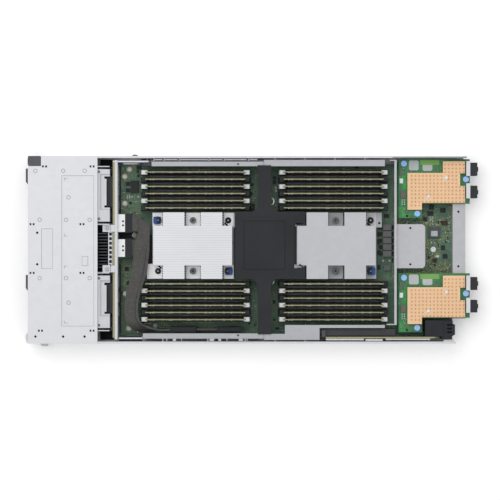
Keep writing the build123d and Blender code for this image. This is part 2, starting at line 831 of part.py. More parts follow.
# Processors: sockets with their guide posts, and packages
with BuildPart() as cpu_sockets:
    for centre in cpu_centres:
        block(
            (centre - package_size[0] / 2 - 5, cpu_mid_y - package_size[1] / 2 - 5, board_top),
            (centre + package_size[0] / 2 + 5, cpu_mid_y + package_size[1] / 2 + 5, board_top + socket_stack),
        )
        for side in (-1, 1):
            post = (centre + side * guide_x, cpu_mid_y + side * guide_y)
            with BuildSketch(Plane.XY.offset(board_top)):
                with Locations(post):
                    RegularPolygon(2.0, 10)
            extrude(amount=base_top + 3 - board_top)
            arm_x = centre + side * (package_size[0] / 2 + 1)
            block(
                (min(arm_x, post[0] + side * 3.4), post[1] - 3.4 if side > 0 else post[1] - 3.4, board_top),
                (max(arm_x, post[0] + side * 3.4), post[1] + 3.4, board_top + 2.4),
            )
            link_y = cpu_mid_y + side * (package_size[1] / 2 + 1)
            link_x = centre + side * (package_size[0] / 2 - 6)
            block(
                (min(link_x, arm_x + side * 4), min(link_y, post[1] + side * 3.4), board_top),
                (max(link_x, arm_x + side * 4), max(link_y, post[1] + side * 3.4), board_top + 2.4),
            )
save(cpu_sockets, "cpu_sockets")

with BuildPart() as cpu_packages:
    with BuildSketch(Plane.XY.offset(board_top + socket_stack)):
        with Locations(*[(centre, cpu_mid_y) for centre in cpu_centres]):
            Rectangle(*package_size)
    extrude(amount=1.4)
    with BuildSketch(Plane.XY.offset(board_top + socket_stack + 1.4)):
        with Locations(*[(centre, cpu_mid_y) for centre in cpu_centres]):
            Rectangle(package_size[0] - 14, package_size[1] - 10)
    extrude(amount=package_stack - 1.4)
save(cpu_packages, "cpu_packages")


def build_heatsink(centre):
    """Base plate with two guide tabs, and a stack of upright fins under a thin roof."""
    half_x = heatsink_length / 2
    half_y = heatsink_width / 2
    fin_count = int((heatsink_width - fin_thickness) / fin_pitch)
    fin_low = base_top - 0.5
    with BuildPart() as sink:
        with BuildSketch(Plane.XY.offset(base_low)):
            with Locations((centre, cpu_mid_y)):
                Rectangle(heatsink_length + 4, heatsink_width)
            for side in (-1, 1):
                with Locations((centre + side * (half_x + 2), cpu_mid_y + side * (half_y - 10))):
                    Rectangle(15, 20)
            for side in (-1, 1):
                with Locations((centre + side * guide_x, cpu_mid_y + side * guide_y)):
                    RegularPolygon(3.0, 10, mode=Mode.SUBTRACT)
        extrude(amount=heatsink_base)
        with BuildPart(mode=Mode.PRIVATE) as stack:
            with BuildSketch(Plane.YZ.offset(centre - half_x)):
                with Locations((cpu_mid_y, (fin_low + heatsink_top) / 2)):
                    with GridLocations(fin_pitch, 1, fin_count + 1, 1):
                        Rectangle(fin_thickness, heatsink_top - fin_low)
                with Locations((cpu_mid_y, heatsink_top - fin_roof / 2)):
                    Rectangle(fin_count * fin_pitch + fin_thickness, fin_roof)
            extrude(amount=heatsink_length)
            with BuildSketch(Plane.XY.offset(fin_low)):
                with Locations((centre, cpu_mid_y)):
                    with GridLocations(1, heatsink_width + fin_band, 1, 2):
                        Rectangle(2 * lobe_inner, heatsink_width)
                    with GridLocations(2 * lobe_outer + 60, heatsink_width + fin_band, 2, 2):
                        Rectangle(60, heatsink_width)
            extrude(amount=heatsink_top, mode=Mode.SUBTRACT)
        add(stack.part)
    return sink


save(build_heatsink(cpu_centres[0]), "heatsink_front")
save(build_heatsink(cpu_centres[1]), "heatsink_rear")

with BuildPart() as heatsink_screws:
    spots = [(c, cpu_mid_y + side * guide_y) for c in cpu_centres for side in (-1, 1)]
    with BuildSketch(Plane.XY.offset(base_top)):
        with Locations(*spots):
            RegularPolygon(sink_screw_r, 12)
    extrude(amount=6.0)
save(heatsink_screws, "heatsink_screws")

clip_x = 48.0
with BuildPart() as heatsink_clips:
    spots = [(c + side * clip_x, cpu_mid_y - side * guide_y) for c in cpu_centres for side in (-1, 1)]
    with BuildSketch(Plane.XY.offset(base_top)):
        with Locations(*spots):
            Rectangle(9.0, 9.6)
    extrude(amount=6)
    with BuildSketch(Plane.XY.offset(base_top + 6)):
        with Locations(*spots):
            RegularPolygon(5.2, 8, major_radius=False, rotation=22.5)
    extrude(amount=2.2)
    with BuildSketch(Plane.XY.offset(base_top + 8.2)):
        with Locations(*spots):
            Rectangle(5.0, 4.4)
    extrude(amount=-4, mode=Mode.SUBTRACT)
save(heatsink_clips, "heatsink_clips")

# Air shroud: cross-shaped lid with skirts that stand on the board
strip_mid = sum(shroud_strip) / 2
strip_half = (shroud_strip[1] - shroud_strip[0]) / 2
flare = 6.5
low_y, high_y = shroud_block_y
with BuildPart() as air_shroud:
    outline(
        [
            (shroud_strip[0], -shroud_strip_half),
            (shroud_strip[1], -shroud_strip_half),
            (shroud_strip[1], low_y - flare),
            (shroud_strip[1] + flare, low_y),
            (shroud_arm_x, low_y),
            (shroud_arm_x, low_y + shroud_arm_depth),
            (shroud_block[1], low_y + shroud_arm_depth),
            (shroud_block[1], high_y - shroud_arm_depth),
            (shroud_arm_x, high_y - shroud_arm_depth),
            (shroud_arm_x, high_y),
            (shroud_strip[1] + flare, high_y),
            (shroud_strip[1], high_y + flare),
            (shroud_strip[1], shroud_strip_half),
            (shroud_strip[0], shroud_strip_half),
            (shroud_strip[0], high_y + flare),
            (shroud_strip[0] - flare, high_y),
            (shroud_block[0], high_y),
            (shroud_block[0], low_y),
            (shroud_strip[0] - flare, low_y),
            (shroud_strip[0], low_y - flare),
        ],
        shroud_top - shroud_wall,
        shroud_wall,
    )
    for side in (-1, 1):
        near = high_y if side > 0 else low_y
        far = side * (shroud_strip_half - 1.6)
        for edge in (shroud_strip[0], shroud_strip[1] - shroud_wall):
            block(
                (edge, min(near + side * flare, far), board_top),
                (edge + shroud_wall, max(near + side * flare, far), shroud_top - shroud_wall),
            )
        end = far - side * shroud_wall
        block(
            (shroud_strip[0], min(end, far), board_top),
            (shroud_strip[1], max(end, far), shroud_top - shroud_wall),
        )
        edge = near - side * shroud_wall
        block(
            (shroud_block[0] + 16, min(near, edge), board_top),
            (shroud_block[1] - 16, max(near, edge), shroud_top - shroud_wall),
        )
    with BuildSketch(Plane.XY.offset(shroud_top)):
        with Locations((strip_mid, (low_y + high_y) / 2)):
            Rectangle(56, 66)
            Rectangle(53, 63, mode=Mode.SUBTRACT)
    extrude(amount=-0.7, mode=Mode.SUBTRACT)
save(air_shroud, "air_shroud")

# Rear bracket: upright partition with windows, end flanges and the shelf plate
bracket_low_y = -100.4
bracket_high_y = 120.1
plate_x = partition_x + sheet
with BuildPart() as rear_bracket:
    block((partition_x, bracket_low_y, board_top), (partition_x + sheet, bracket_high_y, bracket_height))
    block(
        (partition_x - partition_hem, bracket_low_y, bracket_height - sheet),
        (partition_x, bracket_high_y, bracket_height),
    )
    block((partition_x - 8, bracket_high_y - sheet, board_top + 14), (partition_x, bracket_high_y, bracket_height))
    block((partition_x - 12, bracket_low_y, board_top + 14), (partition_x, bracket_low_y + sheet, bracket_height))
    with BuildSketch(Plane.YZ.offset(partition_x)):
        with Locations((bank_mid_y + 73, 20), (bank_mid_y - 73, 20)):
            with GridLocations(22, 1, 3, 1):
                Rectangle(17, 20)
        with Locations((plate_mid_y, 18)):
            Rectangle(50, 18)
    extrude(amount=sheet, mode=Mode.SUBTRACT)
    corner = 5.0
    plate_edge_x = plate_x + plate_size[0]
    plate_edge_y = plate_size[1] / 2
    bend = [(corner, 0), (0.5 * corner, 0.13 * corner), (0.13 * corner, 0.5 * corner), (0, corner)]
    outline(
        [(plate_x - 0.4, plate_mid_y - plate_edge_y)]
        + [(plate_edge_x - u, plate_mid_y - plate_edge_y + v) for u, v in bend]
        + [(plate_edge_x - u, plate_mid_y + plate_edge_y - v) for u, v in reversed(bend)]
        + [(plate_x - 0.4, plate_mid_y + plate_edge_y)],
        plate_level,
        sheet,
    )
    with BuildSketch(Plane.XY.offset(plate_level)):
        with Locations((plate_x + 18.7, plate_mid_y)):
            with GridLocations(1, 48.6, 1, 2):
                Circle(hole_r)
    extrude(amount=sheet, mode=Mode.SUBTRACT)
save(rear_bracket, "rear_bracket")

# Rear crossbar: inverted channel across the pan, with its two tapped holes
crossbar_high_y = half_width - 5.6
with BuildPart() as rear_crossbar:
    with BuildSketch(Plane.XZ.offset(-crossbar_high_y)):
        with BuildLine():
            Polyline(
                (crossbar_x, board_top),
                (crossbar_x + sheet, board_top),
                (crossbar_x + sheet, crossbar_top - sheet),
                (pan_rear_x - sheet, crossbar_top - sheet),
                (pan_rear_x - sheet, sheet),
                (pan_rear_x, sheet),
                (pan_rear_x, crossbar_top),
                (crossbar_x, crossbar_top),
                close=True,
            )
        make_face()
    extrude(amount=crossbar_high_y - rear_corner_y)
    with BuildSketch(Plane.XY.offset(crossbar_top - sheet)):
        with Locations(((crossbar_x + pan_rear_x) / 2 - 0.9, 14.5)):
            with GridLocations(1, 73.2, 1, 2):
                Circle(hole_r)
    extrude(amount=sheet, mode=Mode.SUBTRACT)
save(rear_crossbar, "rear_crossbar")

# Mezzanine cards: two alike, each with its heatsink
mezz_low = crossbar_top
mezz_top = mezz_low + mezz_thickness
mezz_shifts = (0.0, -mezz_step)
mezz_screw_spots = ((mezz_x[0] + 7.0, 115.7), (mezz_x[1] - 5.3, 94.5), (mezz_leg_x - 6.5, 48.4))
sink_left = mezz_x[0] + 11.6
sink_step = mezz_leg_x - 0.6
sink_right = mezz_x[1] - 6.9
sink_notch = sink_right - 6.6
sink_inner = sink_right - 29.6
sink_low = mezz_top + mezz_sink_lift


def build_mezz_board(shift):
    with BuildPart() as card:
        outline(
            [
                (mezz_x[0], mezz_leg_y + shift),
                (mezz_leg_x, mezz_leg_y + shift),
                (mezz_leg_x, mezz_y[0] + shift),
                (mezz_x[1], mezz_y[0] + shift),
                (mezz_x[1], mezz_y[1] + shift),
                (mezz_x[0], mezz_y[1] + shift),
            ],
            mezz_low,
            mezz_thickness,
        )
    return card


def build_mezz_heatsink(shift):
    with BuildPart() as sink:
        outline(
            [
                (sink_left, mezz_leg_y + 11.2 + shift),
                (sink_step, mezz_leg_y + 11.2 + shift),
                (sink_step, mezz_y[0] + 1.0 + shift),
                (sink_right, mezz_y[0] + 1.0 + shift),
                (sink_right, mezz_y[1] - 36.1 + shift),
                (sink_notch, mezz_y[1] - 36.1 + shift),
                (sink_notch, mezz_y[1] - 19.3 + shift),
                (sink_right, mezz_y[1] - 19.3 + shift),
                (sink_right, mezz_y[1] - 3.1 + shift),
                (sink_inner, mezz_y[1] - 3.1 + shift),
                (sink_inner, mezz_y[1] - 18.7 + shift),
                (sink_left, mezz_y[1] - 18.7 + shift),
            ],
            sink_low,
            mezz_sink_plate,
        )
        block(
            (sink_left + 16.8, mezz_y[0] + 8.2 + shift, mezz_top),
            (sink_notch - 16.7, mezz_y[1] - 23.7 + shift, sink_low),
        )
    return sink


for number, shift in enumerate(mezz_shifts, start=1):
    save(build_mezz_board(shift), f"mezz_board_{number}")
    save(build_mezz_heatsink(shift), f"mezz_heatsink_{number}")

with BuildPart() as mezz_connectors:
    for shift in mezz_shifts:
        for near, far in ((99.3, 116.7), (69.2, 85.9)):
            with BuildSketch(Plane.XZ.offset(-far - shift)):
                with BuildLine():
                    Polyline(
                        (mezz_x[1] - 5.2, mezz_top),
                        (mezz_x[1] + 0.3, mezz_top),
                        (mezz_x[1] + 0.3, 15),
                        (mezz_x[1] + 9.6, 15),
                        (mezz_x[1] + 9.6, 30.4),
                        (mezz_x[1] + 8.2, 32),
                        (mezz_x[1] - 5.2, 32),
                        close=True,
                    )
                make_face()
            extrude(amount=far - near)
            block(
                (mezz_x[1] + 9.6, (near + far) / 2 - 3 + shift, 18),
                (mezz_x[1] + 11.1, (near + far) / 2 + 3 + shift, 27),
            )
        block((mezz_x[0] + 4, mezz_y[0] + 6 + shift, board_top), (mezz_x[0] + 14, mezz_y[1] - 12 + shift, mezz_low))
save(mezz_connectors, "mezz_connectors")

with BuildPart() as mezz_screws:
    for shift in mezz_shifts:
        spots = [(x, y + shift) for x, y in mezz_screw_spots]
        with BuildSketch(Plane.XY.offset(mezz_top)):
            with Locations(*spots):
                RegularPolygon(4.0, 12)
        extrude(amount=2.2)
        with BuildSketch(Plane.XY.offset(board_top)):
            with Locations(spots[0], spots[2]):
                RegularPolygon(3.2, 6)
        extrude(amount=mezz_low - board_top)
save(mezz_screws, "mezz_screws")

# Riser card on edge, its holder and the rear power plug
riser_back_y = riser_y - riser_thickness
with BuildPart() as riser_board:
    with BuildSketch(Plane.XZ.offset(-riser_y)):
        with BuildLine():
            Polyline(
                (riser_x[0], sheet),
                (riser_x[1], sheet),
                (riser_x[1], riser_top - 9),
                (riser_x[1] - 9, riser_top),
                (riser_x[0], riser_top),
                close=True,
            )
        make_face()
    extrude(amount=riser_thickness)
save(riser_board, "riser_board")

holder_rear_x = partition_x - part_gap
with BuildPart() as riser_holder:
    block((riser_x[0] + 1.4, riser_y + 1.2, board_top), (holder_rear_x, riser_y + 10.4, 31))
    block((riser_x[0] - 6, riser_back_y - 1.4, board_top), (riser_x[0] + 1.4, riser_y + 10.4, 31))
    block(
        (riser_x[0] - 0.3, riser_back_y - 0.3, board_top),
        (riser_x[0] + 1.4, riser_y + 0.3, 31),
        Mode.SUBTRACT,
    )
    with BuildSketch(Plane.XZ.offset(-riser_y - 10.4)):
        with Locations(((riser_x[0] + holder_rear_x) / 2, 18)):
            with GridLocations(14, 1, 6, 1):
                Rectangle(9, 17)
    extrude(amount=3, mode=Mode.SUBTRACT)
save(riser_holder, "riser_holder")

plug_low_y = riser_back_y - 1.4
plug_high_y = -94.5
plug_front_x = riser_x[1] - 20.9
plug_rear_end = riser_x[1] + 19.2
plug_top = 34.0
with BuildPart() as power_connector:
    block((plug_front_x, riser_y + 0.4, board_top), (riser_x[1] + 3, plug_high_y, plug_top))
    outline(
        [
            (riser_x[1] + 1, plug_low_y),
            (plug_rear_end - 4, plug_low_y),
            (plug_rear_end - 4, plug_low_y + 4),
            (plug_rear_end, plug_low_y + 6),
            (plug_rear_end, plug_high_y - 6),
            (plug_rear_end - 3, plug_high_y - 4),
            (plug_rear_end - 3, plug_high_y),
            (riser_x[1] + 1, plug_high_y),
        ],
        board_top,
        plug_top - board_top - 1.5,
    )
    with BuildSketch(Plane.XY.offset(plug_top - 1.5)):
        with Locations((plug_rear_end - 7.4, (plug_low_y + plug_high_y) / 2 + 1.6)):
            with GridLocations(1, 4.8, 1, 3):
                Rectangle(6.4, 2.6)
    extrude(amount=-5, mode=Mode.SUBTRACT)
    with BuildSketch(Plane.YZ.offset(plug_rear_end)):
        with Locations(((plug_low_y + plug_high_y) / 2, board_top + 11)):
            with GridLocations(4.6, 1, 3, 1):
                Rectangle(2.8, 15)
    extrude(amount=-10, mode=Mode.SUBTRACT)
save(power_connector, "power_connector")

# Side brackets: folded strips between the board and the walls, with lugs that reach the walls
strip_level = 37.0
strip_high = strip_level + sheet
lug_thickness = 1.5
strip_rear_x = partition_x - 14.6
strip_gap = 0.2
with BuildPart() as side_brackets:
    for left, right, inner, outer, lugs in (
        (bank_front_x + 8.3, strip_front_x - strip_gap, 111.6, 118.9, (0.016, 0.113, 0.255, 0.536, 0.679, 0.907)),
        (strip_mid - 0.6, strip_rear_x, 111.6, 120.1, (0.087, 0.335, 0.583, 0.831)),
        (bank_front_x - 3.2, strip_front_x - strip_gap, -111.7, -118.6, (0.168, 0.559, 0.886)),
        (strip_mid - 0.6, riser_x[0] - 8.5, -112.3, -120.4, (0.19, 0.73)),
    ):
        turn_out = 1 if outer > 0 else -1
        web = outer - turn_out * sheet
        wall = turn_out * wall_inside
        block((left, min(inner, outer), strip_level), (right, max(inner, outer), strip_high))
        block((left, min(web, outer), sheet), (right, max(web, outer), strip_level))
        for share in lugs:
            lug = left + share * (right - left)
            block(
                (lug, min(outer, wall), strip_level - 4),
                (lug + lug_thickness, max(outer, wall), strip_high - 0.4),
            )
    block((rear_bank_x + 1.5, -112.8, strip_level), (riser_x[0] - 8.5, -100.4, strip_high))
    block((riser_x[0] - 9.5, -104.4, strip_level), (strip_rear_x, -100.4, strip_high))
    block((riser_x[0] - 7.0, -101.6, board_top), (strip_rear_x, -100.4, strip_level))
    with BuildSketch(Plane.XY.offset(strip_level)):
        with Locations((strip_front_x - 26.4, 114.4), (strip_front_x - 26.4, -114.2)):
            RegularPolygon(1.4, 6)
    extrude(amount=sheet, mode=Mode.SUBTRACT)
save(side_brackets, "side_brackets")

# Board components: chokes and power stages beside the rear processor, controllers at the rear
choke_pitch = 8.9
choke_high_y = 30.3
choke_x = partition_x - 9.5
choke_rows = [choke_high_y - i * choke_pitch for i in range(5)]
with BuildPart() as board_components:
    with BuildSketch(Plane.XY.offset(board_top)):
        with Locations(*[(choke_x, y) for y in choke_rows]):
            Rectangle(11.2, 7.8)
    extrude(amount=6.6)
    for size, height, start, spots in (
        ((4.4, 5.0), 1.2, partition_x, [(-18.2, y) for y in choke_rows]),
        ((13.6, 13.6), 2.4, partition_x, [(54.5, 22.7)]),
        ((6.2, 6.2), 1.2, partition_x, [(66.8, 53.4), (51.2, 57.2)]),
        ((7.6, 6.2), 1.4, partition_x, [(49.6, 49.2), (68.8, 36.2)]),
        ((5.6, 6.0), 1.4, partition_x, [(66.4, 3.0), (68.8, -8.6)]),
        ((5.2, 5.0), 3.0, partition_x, [(55.2, -14.4)]),
        ((11.0, 16.4), 4.0, board_front_x, [(20.8, 85.2)]),
        ((4.0, 4.4), 1.2, board_front_x, [(10.0, -25.8), (12.4, -45.0)]),
        ((8.6, 7.0), 4.6, partition_x, [(-9.5, -24.4)]),
    ):
        with BuildSketch(Plane.XY.offset(board_top)):
            with Locations(*[(start + run, y) for run, y in spots]):
                Rectangle(*size)
        extrude(amount=height)
save(board_components, "board_components")
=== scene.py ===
import math
import random

import bmesh
import bpy
from mathutils import Matrix, Vector


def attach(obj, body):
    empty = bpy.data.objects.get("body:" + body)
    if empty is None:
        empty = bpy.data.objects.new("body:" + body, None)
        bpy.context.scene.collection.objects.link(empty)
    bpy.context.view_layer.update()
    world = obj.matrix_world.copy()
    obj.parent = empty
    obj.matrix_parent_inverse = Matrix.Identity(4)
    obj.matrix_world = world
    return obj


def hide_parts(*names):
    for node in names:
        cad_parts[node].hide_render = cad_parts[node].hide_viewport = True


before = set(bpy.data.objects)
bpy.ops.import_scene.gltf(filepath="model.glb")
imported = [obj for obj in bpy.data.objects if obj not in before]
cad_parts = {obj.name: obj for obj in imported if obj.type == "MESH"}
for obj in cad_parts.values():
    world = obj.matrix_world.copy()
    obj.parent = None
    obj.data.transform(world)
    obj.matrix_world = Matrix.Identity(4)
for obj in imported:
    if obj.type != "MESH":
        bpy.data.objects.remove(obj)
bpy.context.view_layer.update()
scene = bpy.context.scene
scene.view_settings.view_transform = "Standard"

# Heights and places in millimetres: X runs to the rear, Y across and Z up from the underside of the pan
MM = 0.001
PAN_FLOOR = 1.25
BOARD_TOP = 5.4
PLATE_LOW, PLATE_TOP = 17.78, 17.95
CARD_TOP = 25.0
TAB_TOP = 37.8
DRIVE_TOP = 39.6
SHROUD_TOP = 40.0
COVER_SUNK, COVER_TOP = 41.70, 42.15
COVER_FRONT, PANEL_FRONT = -298.9, -298.6
BAYS = (72.6, -69.35)
CARRIER_LEVELS = (24.1, 6.2)
HEADERS = (35.7, 2.3)
CARD_SHIFTS = (0.0, -153.2)
CHOKE_ROW, CHOKE_HALF = 182.3, 6.2

# Memory: two banks along X, six rows on each side of the middle line
BANKS = (-75.8, 109.0)
ROWS, ROW_MIDDLE, FIRST_ROW, ROW_PITCH = 6, 5.3, 50.7, 9.56

# Heatsinks: a middle band of full length, with two lobes on each side of it and pockets beside the lobes
SINKS = ((-79.4, 5.5), (112.4, 5.5))
SINK_HALF_X, SINK_HALF_Y, PLATE_HALF = 52.7, 44.55, 54.5
LOBE_IN, LOBE_OUT, BAND = 10.9, 39.7, 26.3
FIN_PITCH, RIB_PITCH = 6.3, 3.2
SCREW_REACH, POST_REACH, CLIP_REACH = 34.1, 47.2, 48.0

# Mezzanine cards: the outline of the heatsink plate and the pins that stand in it, on the first card
CARD_PLATE = ((208.2, 53.7), (227.5, 53.7), (227.5, 62.8), (285.3, 62.8), (285.3, 85.6), (278.7, 85.6),
              (278.7, 102.4), (285.3, 102.4), (285.3, 118.6), (255.7, 118.6), (255.7, 103.0), (208.2, 103.0))
CARD_PINS = ((260.4, 96.4), (236.2, 71.2))

# Areas of the system board as x0, x1, y0, y1: under the large parts, and where placed parts stand
COVERED = (
    (-152, 36, 52, 108), (-152, 36, -98, -42), (30, 188, 52, 108), (30, 188, -98, -42), (-142, -14, -42, 53),
    (48, 172, -42, 53), (-26, 62, -42, 54), (4, 29, -114, 114), (-112, -11, -112, -101), (88, 194, -116, -99),
)
TAKEN = (
    (188, 196, -102, 121), (173, 190, -30, 36), (229, 272, -120, -92), (200, 212, 66, 112),
    (200, 212, -86, -40), (237, 256, 14, 31), (240, 250, -4, 5), (256, 274, -13, 7), (237, 264, 45, 61),
    (-178, -160, -10, 48), (-168, -154, 76, 95),
)


# Material helpers: a socket knows its node tree, so most of them add to the tree of what they are given

def node(tree, kind, place=None, **numbers):
    made = tree.nodes.new("ShaderNode" + kind)
    for name, number in numbers.items():
        made.inputs[name].default_value = number
    if place is not None:
        feed(place, made.inputs["Vector"])
    return made


def feed(value, socket):
    """Join a socket to another one, or set its constant."""
    if isinstance(value, bpy.types.NodeSocket):
        socket.id_data.links.new(value, socket)
    else:
        socket.default_value = value


def coords(tree, output="Object"):
    return node(tree, "TexCoord").outputs[output]


def material(name, rough=0.5, metal=0.0):
    look = bpy.data.materials.new(name)
    look.use_nodes = True
    shader = look.node_tree.nodes["Principled BSDF"].inputs
    shader["Roughness"].default_value = rough
    shader["Metallic"].default_value = metal
    shader["Specular IOR Level"].default_value = 0.2
    return look, coords(look.node_tree)


def paint(base, height, strength, distance=0.0004, rough=None):
    """Join a colour, a relief and, where given, a roughness to the shader."""
    shader = base.id_data.nodes["Principled BSDF"].inputs
    feed(base, shader["Base Color"])
    relief = node(base.id_data, "Bump", Strength=strength, Distance=distance)
    feed(height, relief.inputs["Height"])
    feed(relief.outputs["Normal"], shader["Normal"])
    if rough is not None:
        feed(rough, shader["Roughness"])


def scaled(tone, factor):
    return tuple(min(1.0, c * factor) for c in tone)


def stretched(place, scale):
    return node(place.id_data, "Mapping", place, Scale=scale).outputs["Vector"]


def noise(place, scale, detail=4.0, rough=0.55):
    made = node(place.id_data, "TexNoise", place, Scale=scale, Detail=detail, Roughness=rough)
    return made.outputs["Fac"]


def cells(place, scale, output="Distance"):
    return node(place.id_data, "TexVoronoi", place, Scale=scale).outputs[output]


def waves(place, direction, scale, distortion):
    made = node(place.id_data, "TexWave", place, Scale=scale, Distortion=distortion)
    made.bands_direction = direction
    return made.outputs["Fac"]


def ramp(value, *stops):
    """A ramp through stops, each a position with a grey or a colour."""
    made = node(value.id_data, "ValToRGB")
    marks = made.color_ramp.elements
    while len(marks) < len(stops):
        marks.new(0.5)
    for mark, (position, tone) in zip(marks, stops):
        mark.position = position
        mark.color = (*tone, 1) if isinstance(tone, tuple) else (tone, tone, tone, 1)
    feed(value, made.inputs["Fac"])
    return made.outputs["Color"]


def between(value, low, high):
    return ramp(value, (0.3, low), (0.7, high))


def mix(share, first, second):
    made = node(share.id_data, "Mix")
    made.data_type = "RGBA"
    for value, name in ((share, "Factor"), (first, "A"), (second, "B")):
        feed((*value, 1) if isinstance(value, tuple) else value, made.inputs[name])
    return made.outputs["Result"]


def calc(operation, first, second=0.0):
    made = node((second if isinstance(first, float) else first).id_data, "Math")
    made.operation = operation
    feed(first, made.inputs[0])
    feed(second, made.inputs[1])
    return made.outputs["Value"]


def weighted(first, first_weight, second, second_weight):
    return calc("ADD", calc("MULTIPLY", first, first_weight), calc("MULTIPLY", second, second_weight))


def split(place):
    return node(place.id_data, "SeparateXYZ", place).outputs


def away(value, middle):
    """Distance of a coordinate from a place in millimetres."""
    return calc("ABSOLUTE", calc("SUBTRACT", value, middle * MM))


def repeated(value, pitch):
    """Position of a coordinate within a repeat in millimetres, from 0 to 1."""
    return calc("FRACT", calc("DIVIDE", calc("ADD", value, 1.0), pitch * MM))


def pressed_edge_shade(place, panels, width=0.55 * MM):
    """Mask of painted shade: thin lines along the edges of pressed panels, given as centre and half size."""
    x, y, _ = split(place)
    mask = None
    for mid_x, mid_y, half_x, half_y in panels:
        past_x = calc("SUBTRACT", away(x, mid_x), half_x * MM)
        past_y = calc("SUBTRACT", away(y, mid_y), half_y * MM)
        edge = calc("ABSOLUTE", calc("MAXIMUM", past_x, past_y))
        line = calc("SUBTRACT", 1.0, calc("MINIMUM", calc("DIVIDE", edge, width), 1.0))
        mask = line if mask is None else calc("MAXIMUM", mask, line)
    return mask


# Kinds of material

def sheet_metal(name, low, high, metal=0.3, grain=(60, 900, 60), panels=(), rough=(0.46, 0.6)):
    """Zinc-coated sheet: faint spangle, rolled grain and a few handling marks, with painted shade along the
    edges of pressed panels where they are given.
    """
    look, place = material(name, 0.5, metal)
    spangle = split(cells(place, 130.0, "Color"))[0]
    cloud = noise(place, 14.0, 5)
    fine = noise(stretched(place, grain), 1.0, 3)
    tone = weighted(cloud, 0.55, fine, 0.3)
    tone = calc("ADD", tone, calc("MULTIPLY", spangle, 0.15))
    base = ramp(tone, (0.25, low), (0.75, high))
    streaks = noise(stretched(place, (35, 260, 35)), 1.0, 6, 0.7)
    base = mix(ramp(streaks, (0.66, 0.0), (0.74, 0.22)), base, scaled(low, 0.82))
    # Painted shade: darker lines along the pressed panels' edges
    if panels:
        edge_shade = calc("MULTIPLY", pressed_edge_shade(place, panels), 0.72)
        base = mix(edge_shade, base, scaled(low, 0.42))
    paint(base, fine, 0.06, rough=between(cloud, *rough))
    return look


def moulded(name, low, high, rough=0.5, texture=1400.0, strength=0.18):
    """Moulded plastic: fine spark texture, soft tone drift and light dust."""
    look, place = material(name, rough)
    spark = noise(place, texture, 2)
    base = between(noise(place, 22.0, 4), low, high)
    dust = ramp(noise(place, 260.0, 5, 0.7), (0.62, 0.0), (0.8, 0.18))
    pale = tuple(min(1.0, c * 1.25 + 0.03) for c in high)
    matt = between(spark, rough - 0.08, rough + 0.1)
    paint(mix(dust, base, pale), spark, strength, 0.0002, matt)
    return look


def laminate(name, mask, trace, pads=(0.42, 0.36, 0.2), edge=None, scale=1.0):
    """Circuit board: solder mask, traces, vias and pads, and a bare cut edge on an upright one."""
    look, place = material(name, 0.36)
    cloud = noise(place, 30.0 * scale, 4)
    face = ramp(cloud, (0.3, scaled(mask, 0.82)), (0.72, scaled(mask, 1.15)))
    long, fine = 26 * scale, 620 * scale
    lanes_x = noise(stretched(place, (long, fine, fine)), 1.0, 1, 0.2)
    lanes_y = noise(stretched(place, (fine, long, fine)), 1.0, 1, 0.2)
    zone = ramp(noise(place, 18.0 * scale, 2), (0.48, 0.0), (0.52, 1.0))
    lanes = mix(zone, lanes_x, lanes_y)
    line = ramp(lanes, (0.44, 0.0), (0.47, 0.75), (0.53, 0.75), (0.56, 0.0))
    face = mix(line, face, trace)
    via = ramp(cells(place, 210.0 * scale), (0.10, 1.0), (0.14, 0.0))
    thin = ramp(noise(place, 55.0 * scale, 2), (0.5, 0.0), (0.56, 1.0))
    face = mix(calc("MULTIPLY", via, thin), face, pads)
    if edge:
        upright = calc("ABSOLUTE", split(coords(look.node_tree, "Normal"))[2])
        fibres = noise(stretched(place, (900, 900, 900)), 1.0, 2)
        cut = between(fibres, scaled(edge, 0.85), scaled(edge, 1.1))
        face = mix(ramp(upright, (0.6, 0.0), (0.8, 1.0)), face, cut)
    paint(face, line, 0.12, 0.0001, between(cloud, 0.3, 0.46))
    return look


def row_latches(name):
    """Latch plastic, pale on every second memory row and dark on the rows between."""
    look, place = material(name)
    from_middle = away(split(place)[1], ROW_MIDDLE)
    past = calc("SUBTRACT", from_middle, (FIRST_ROW - ROW_PITCH / 2) * MM)
    odd = calc("GREATER_THAN", calc("FRACT", calc("DIVIDE", past, 2 * ROW_PITCH * MM)), 0.5)
    spark = noise(place, 1500.0, 2)
    cloud = noise(place, 90.0, 3)
    pale = between(cloud, (0.70, 0.70, 0.71), (0.80, 0.80, 0.81))
    dark = between(cloud, (0.016, 0.016, 0.019), (0.026, 0.026, 0.030))
    paint(mix(odd, dark, pale), spark, 0.15, 0.0002, between(spark, 0.42, 0.58))
    return look


def woven(name):
    """Flat ribbon: parallel insulated strands under a woven sleeve."""
    look, place = material(name, 0.62)
    strands = waves(place, "X", 210.0, 0.6)
    cloth = weighted(strands, 0.6, waves(place, "DIAGONAL", 430.0, 0.8), 0.4)
    base = ramp(cloth, (0.15, (0.050, 0.049, 0.047)), (0.85, (0.090, 0.088, 0.085)))
    fuzz = ramp(noise(place, 420.0, 3), (0.46, 0.0), (0.64, 0.5))
    paint(mix(fuzz, base, (0.116, 0.113, 0.108)), cloth, 0.5, 0.0005)
    return look


def grooved_roof(name):
    """Fin stack with a ribbed roof: pale aluminium with a shaded line at each groove."""
    look, place = material(name, 0.5, 0.2)
    step = repeated(split(place)[1], RIB_PITCH)
    groove = ramp(step, (0.0, 0.0), (0.30, 0.0), (0.5, 1.0), (0.7, 0.0))
    grain = noise(stretched(place, (40, 900, 900)), 1.0, 3)
    tone = weighted(noise(place, 16.0, 4), 0.6, grain, 0.4)
    base = between(tone, (0.655, 0.66, 0.69), (0.74, 0.745, 0.775))
    up = calc("GREATER_THAN", split(coords(look.node_tree, "Normal"))[2], 0.5)
    shade = calc("MULTIPLY", calc("MULTIPLY", groove, up), 0.22)
    base = mix(shade, base, (0.30, 0.305, 0.32))
    paint(base, groove, 0.25, rough=between(grain, 0.42, 0.58))
    return look


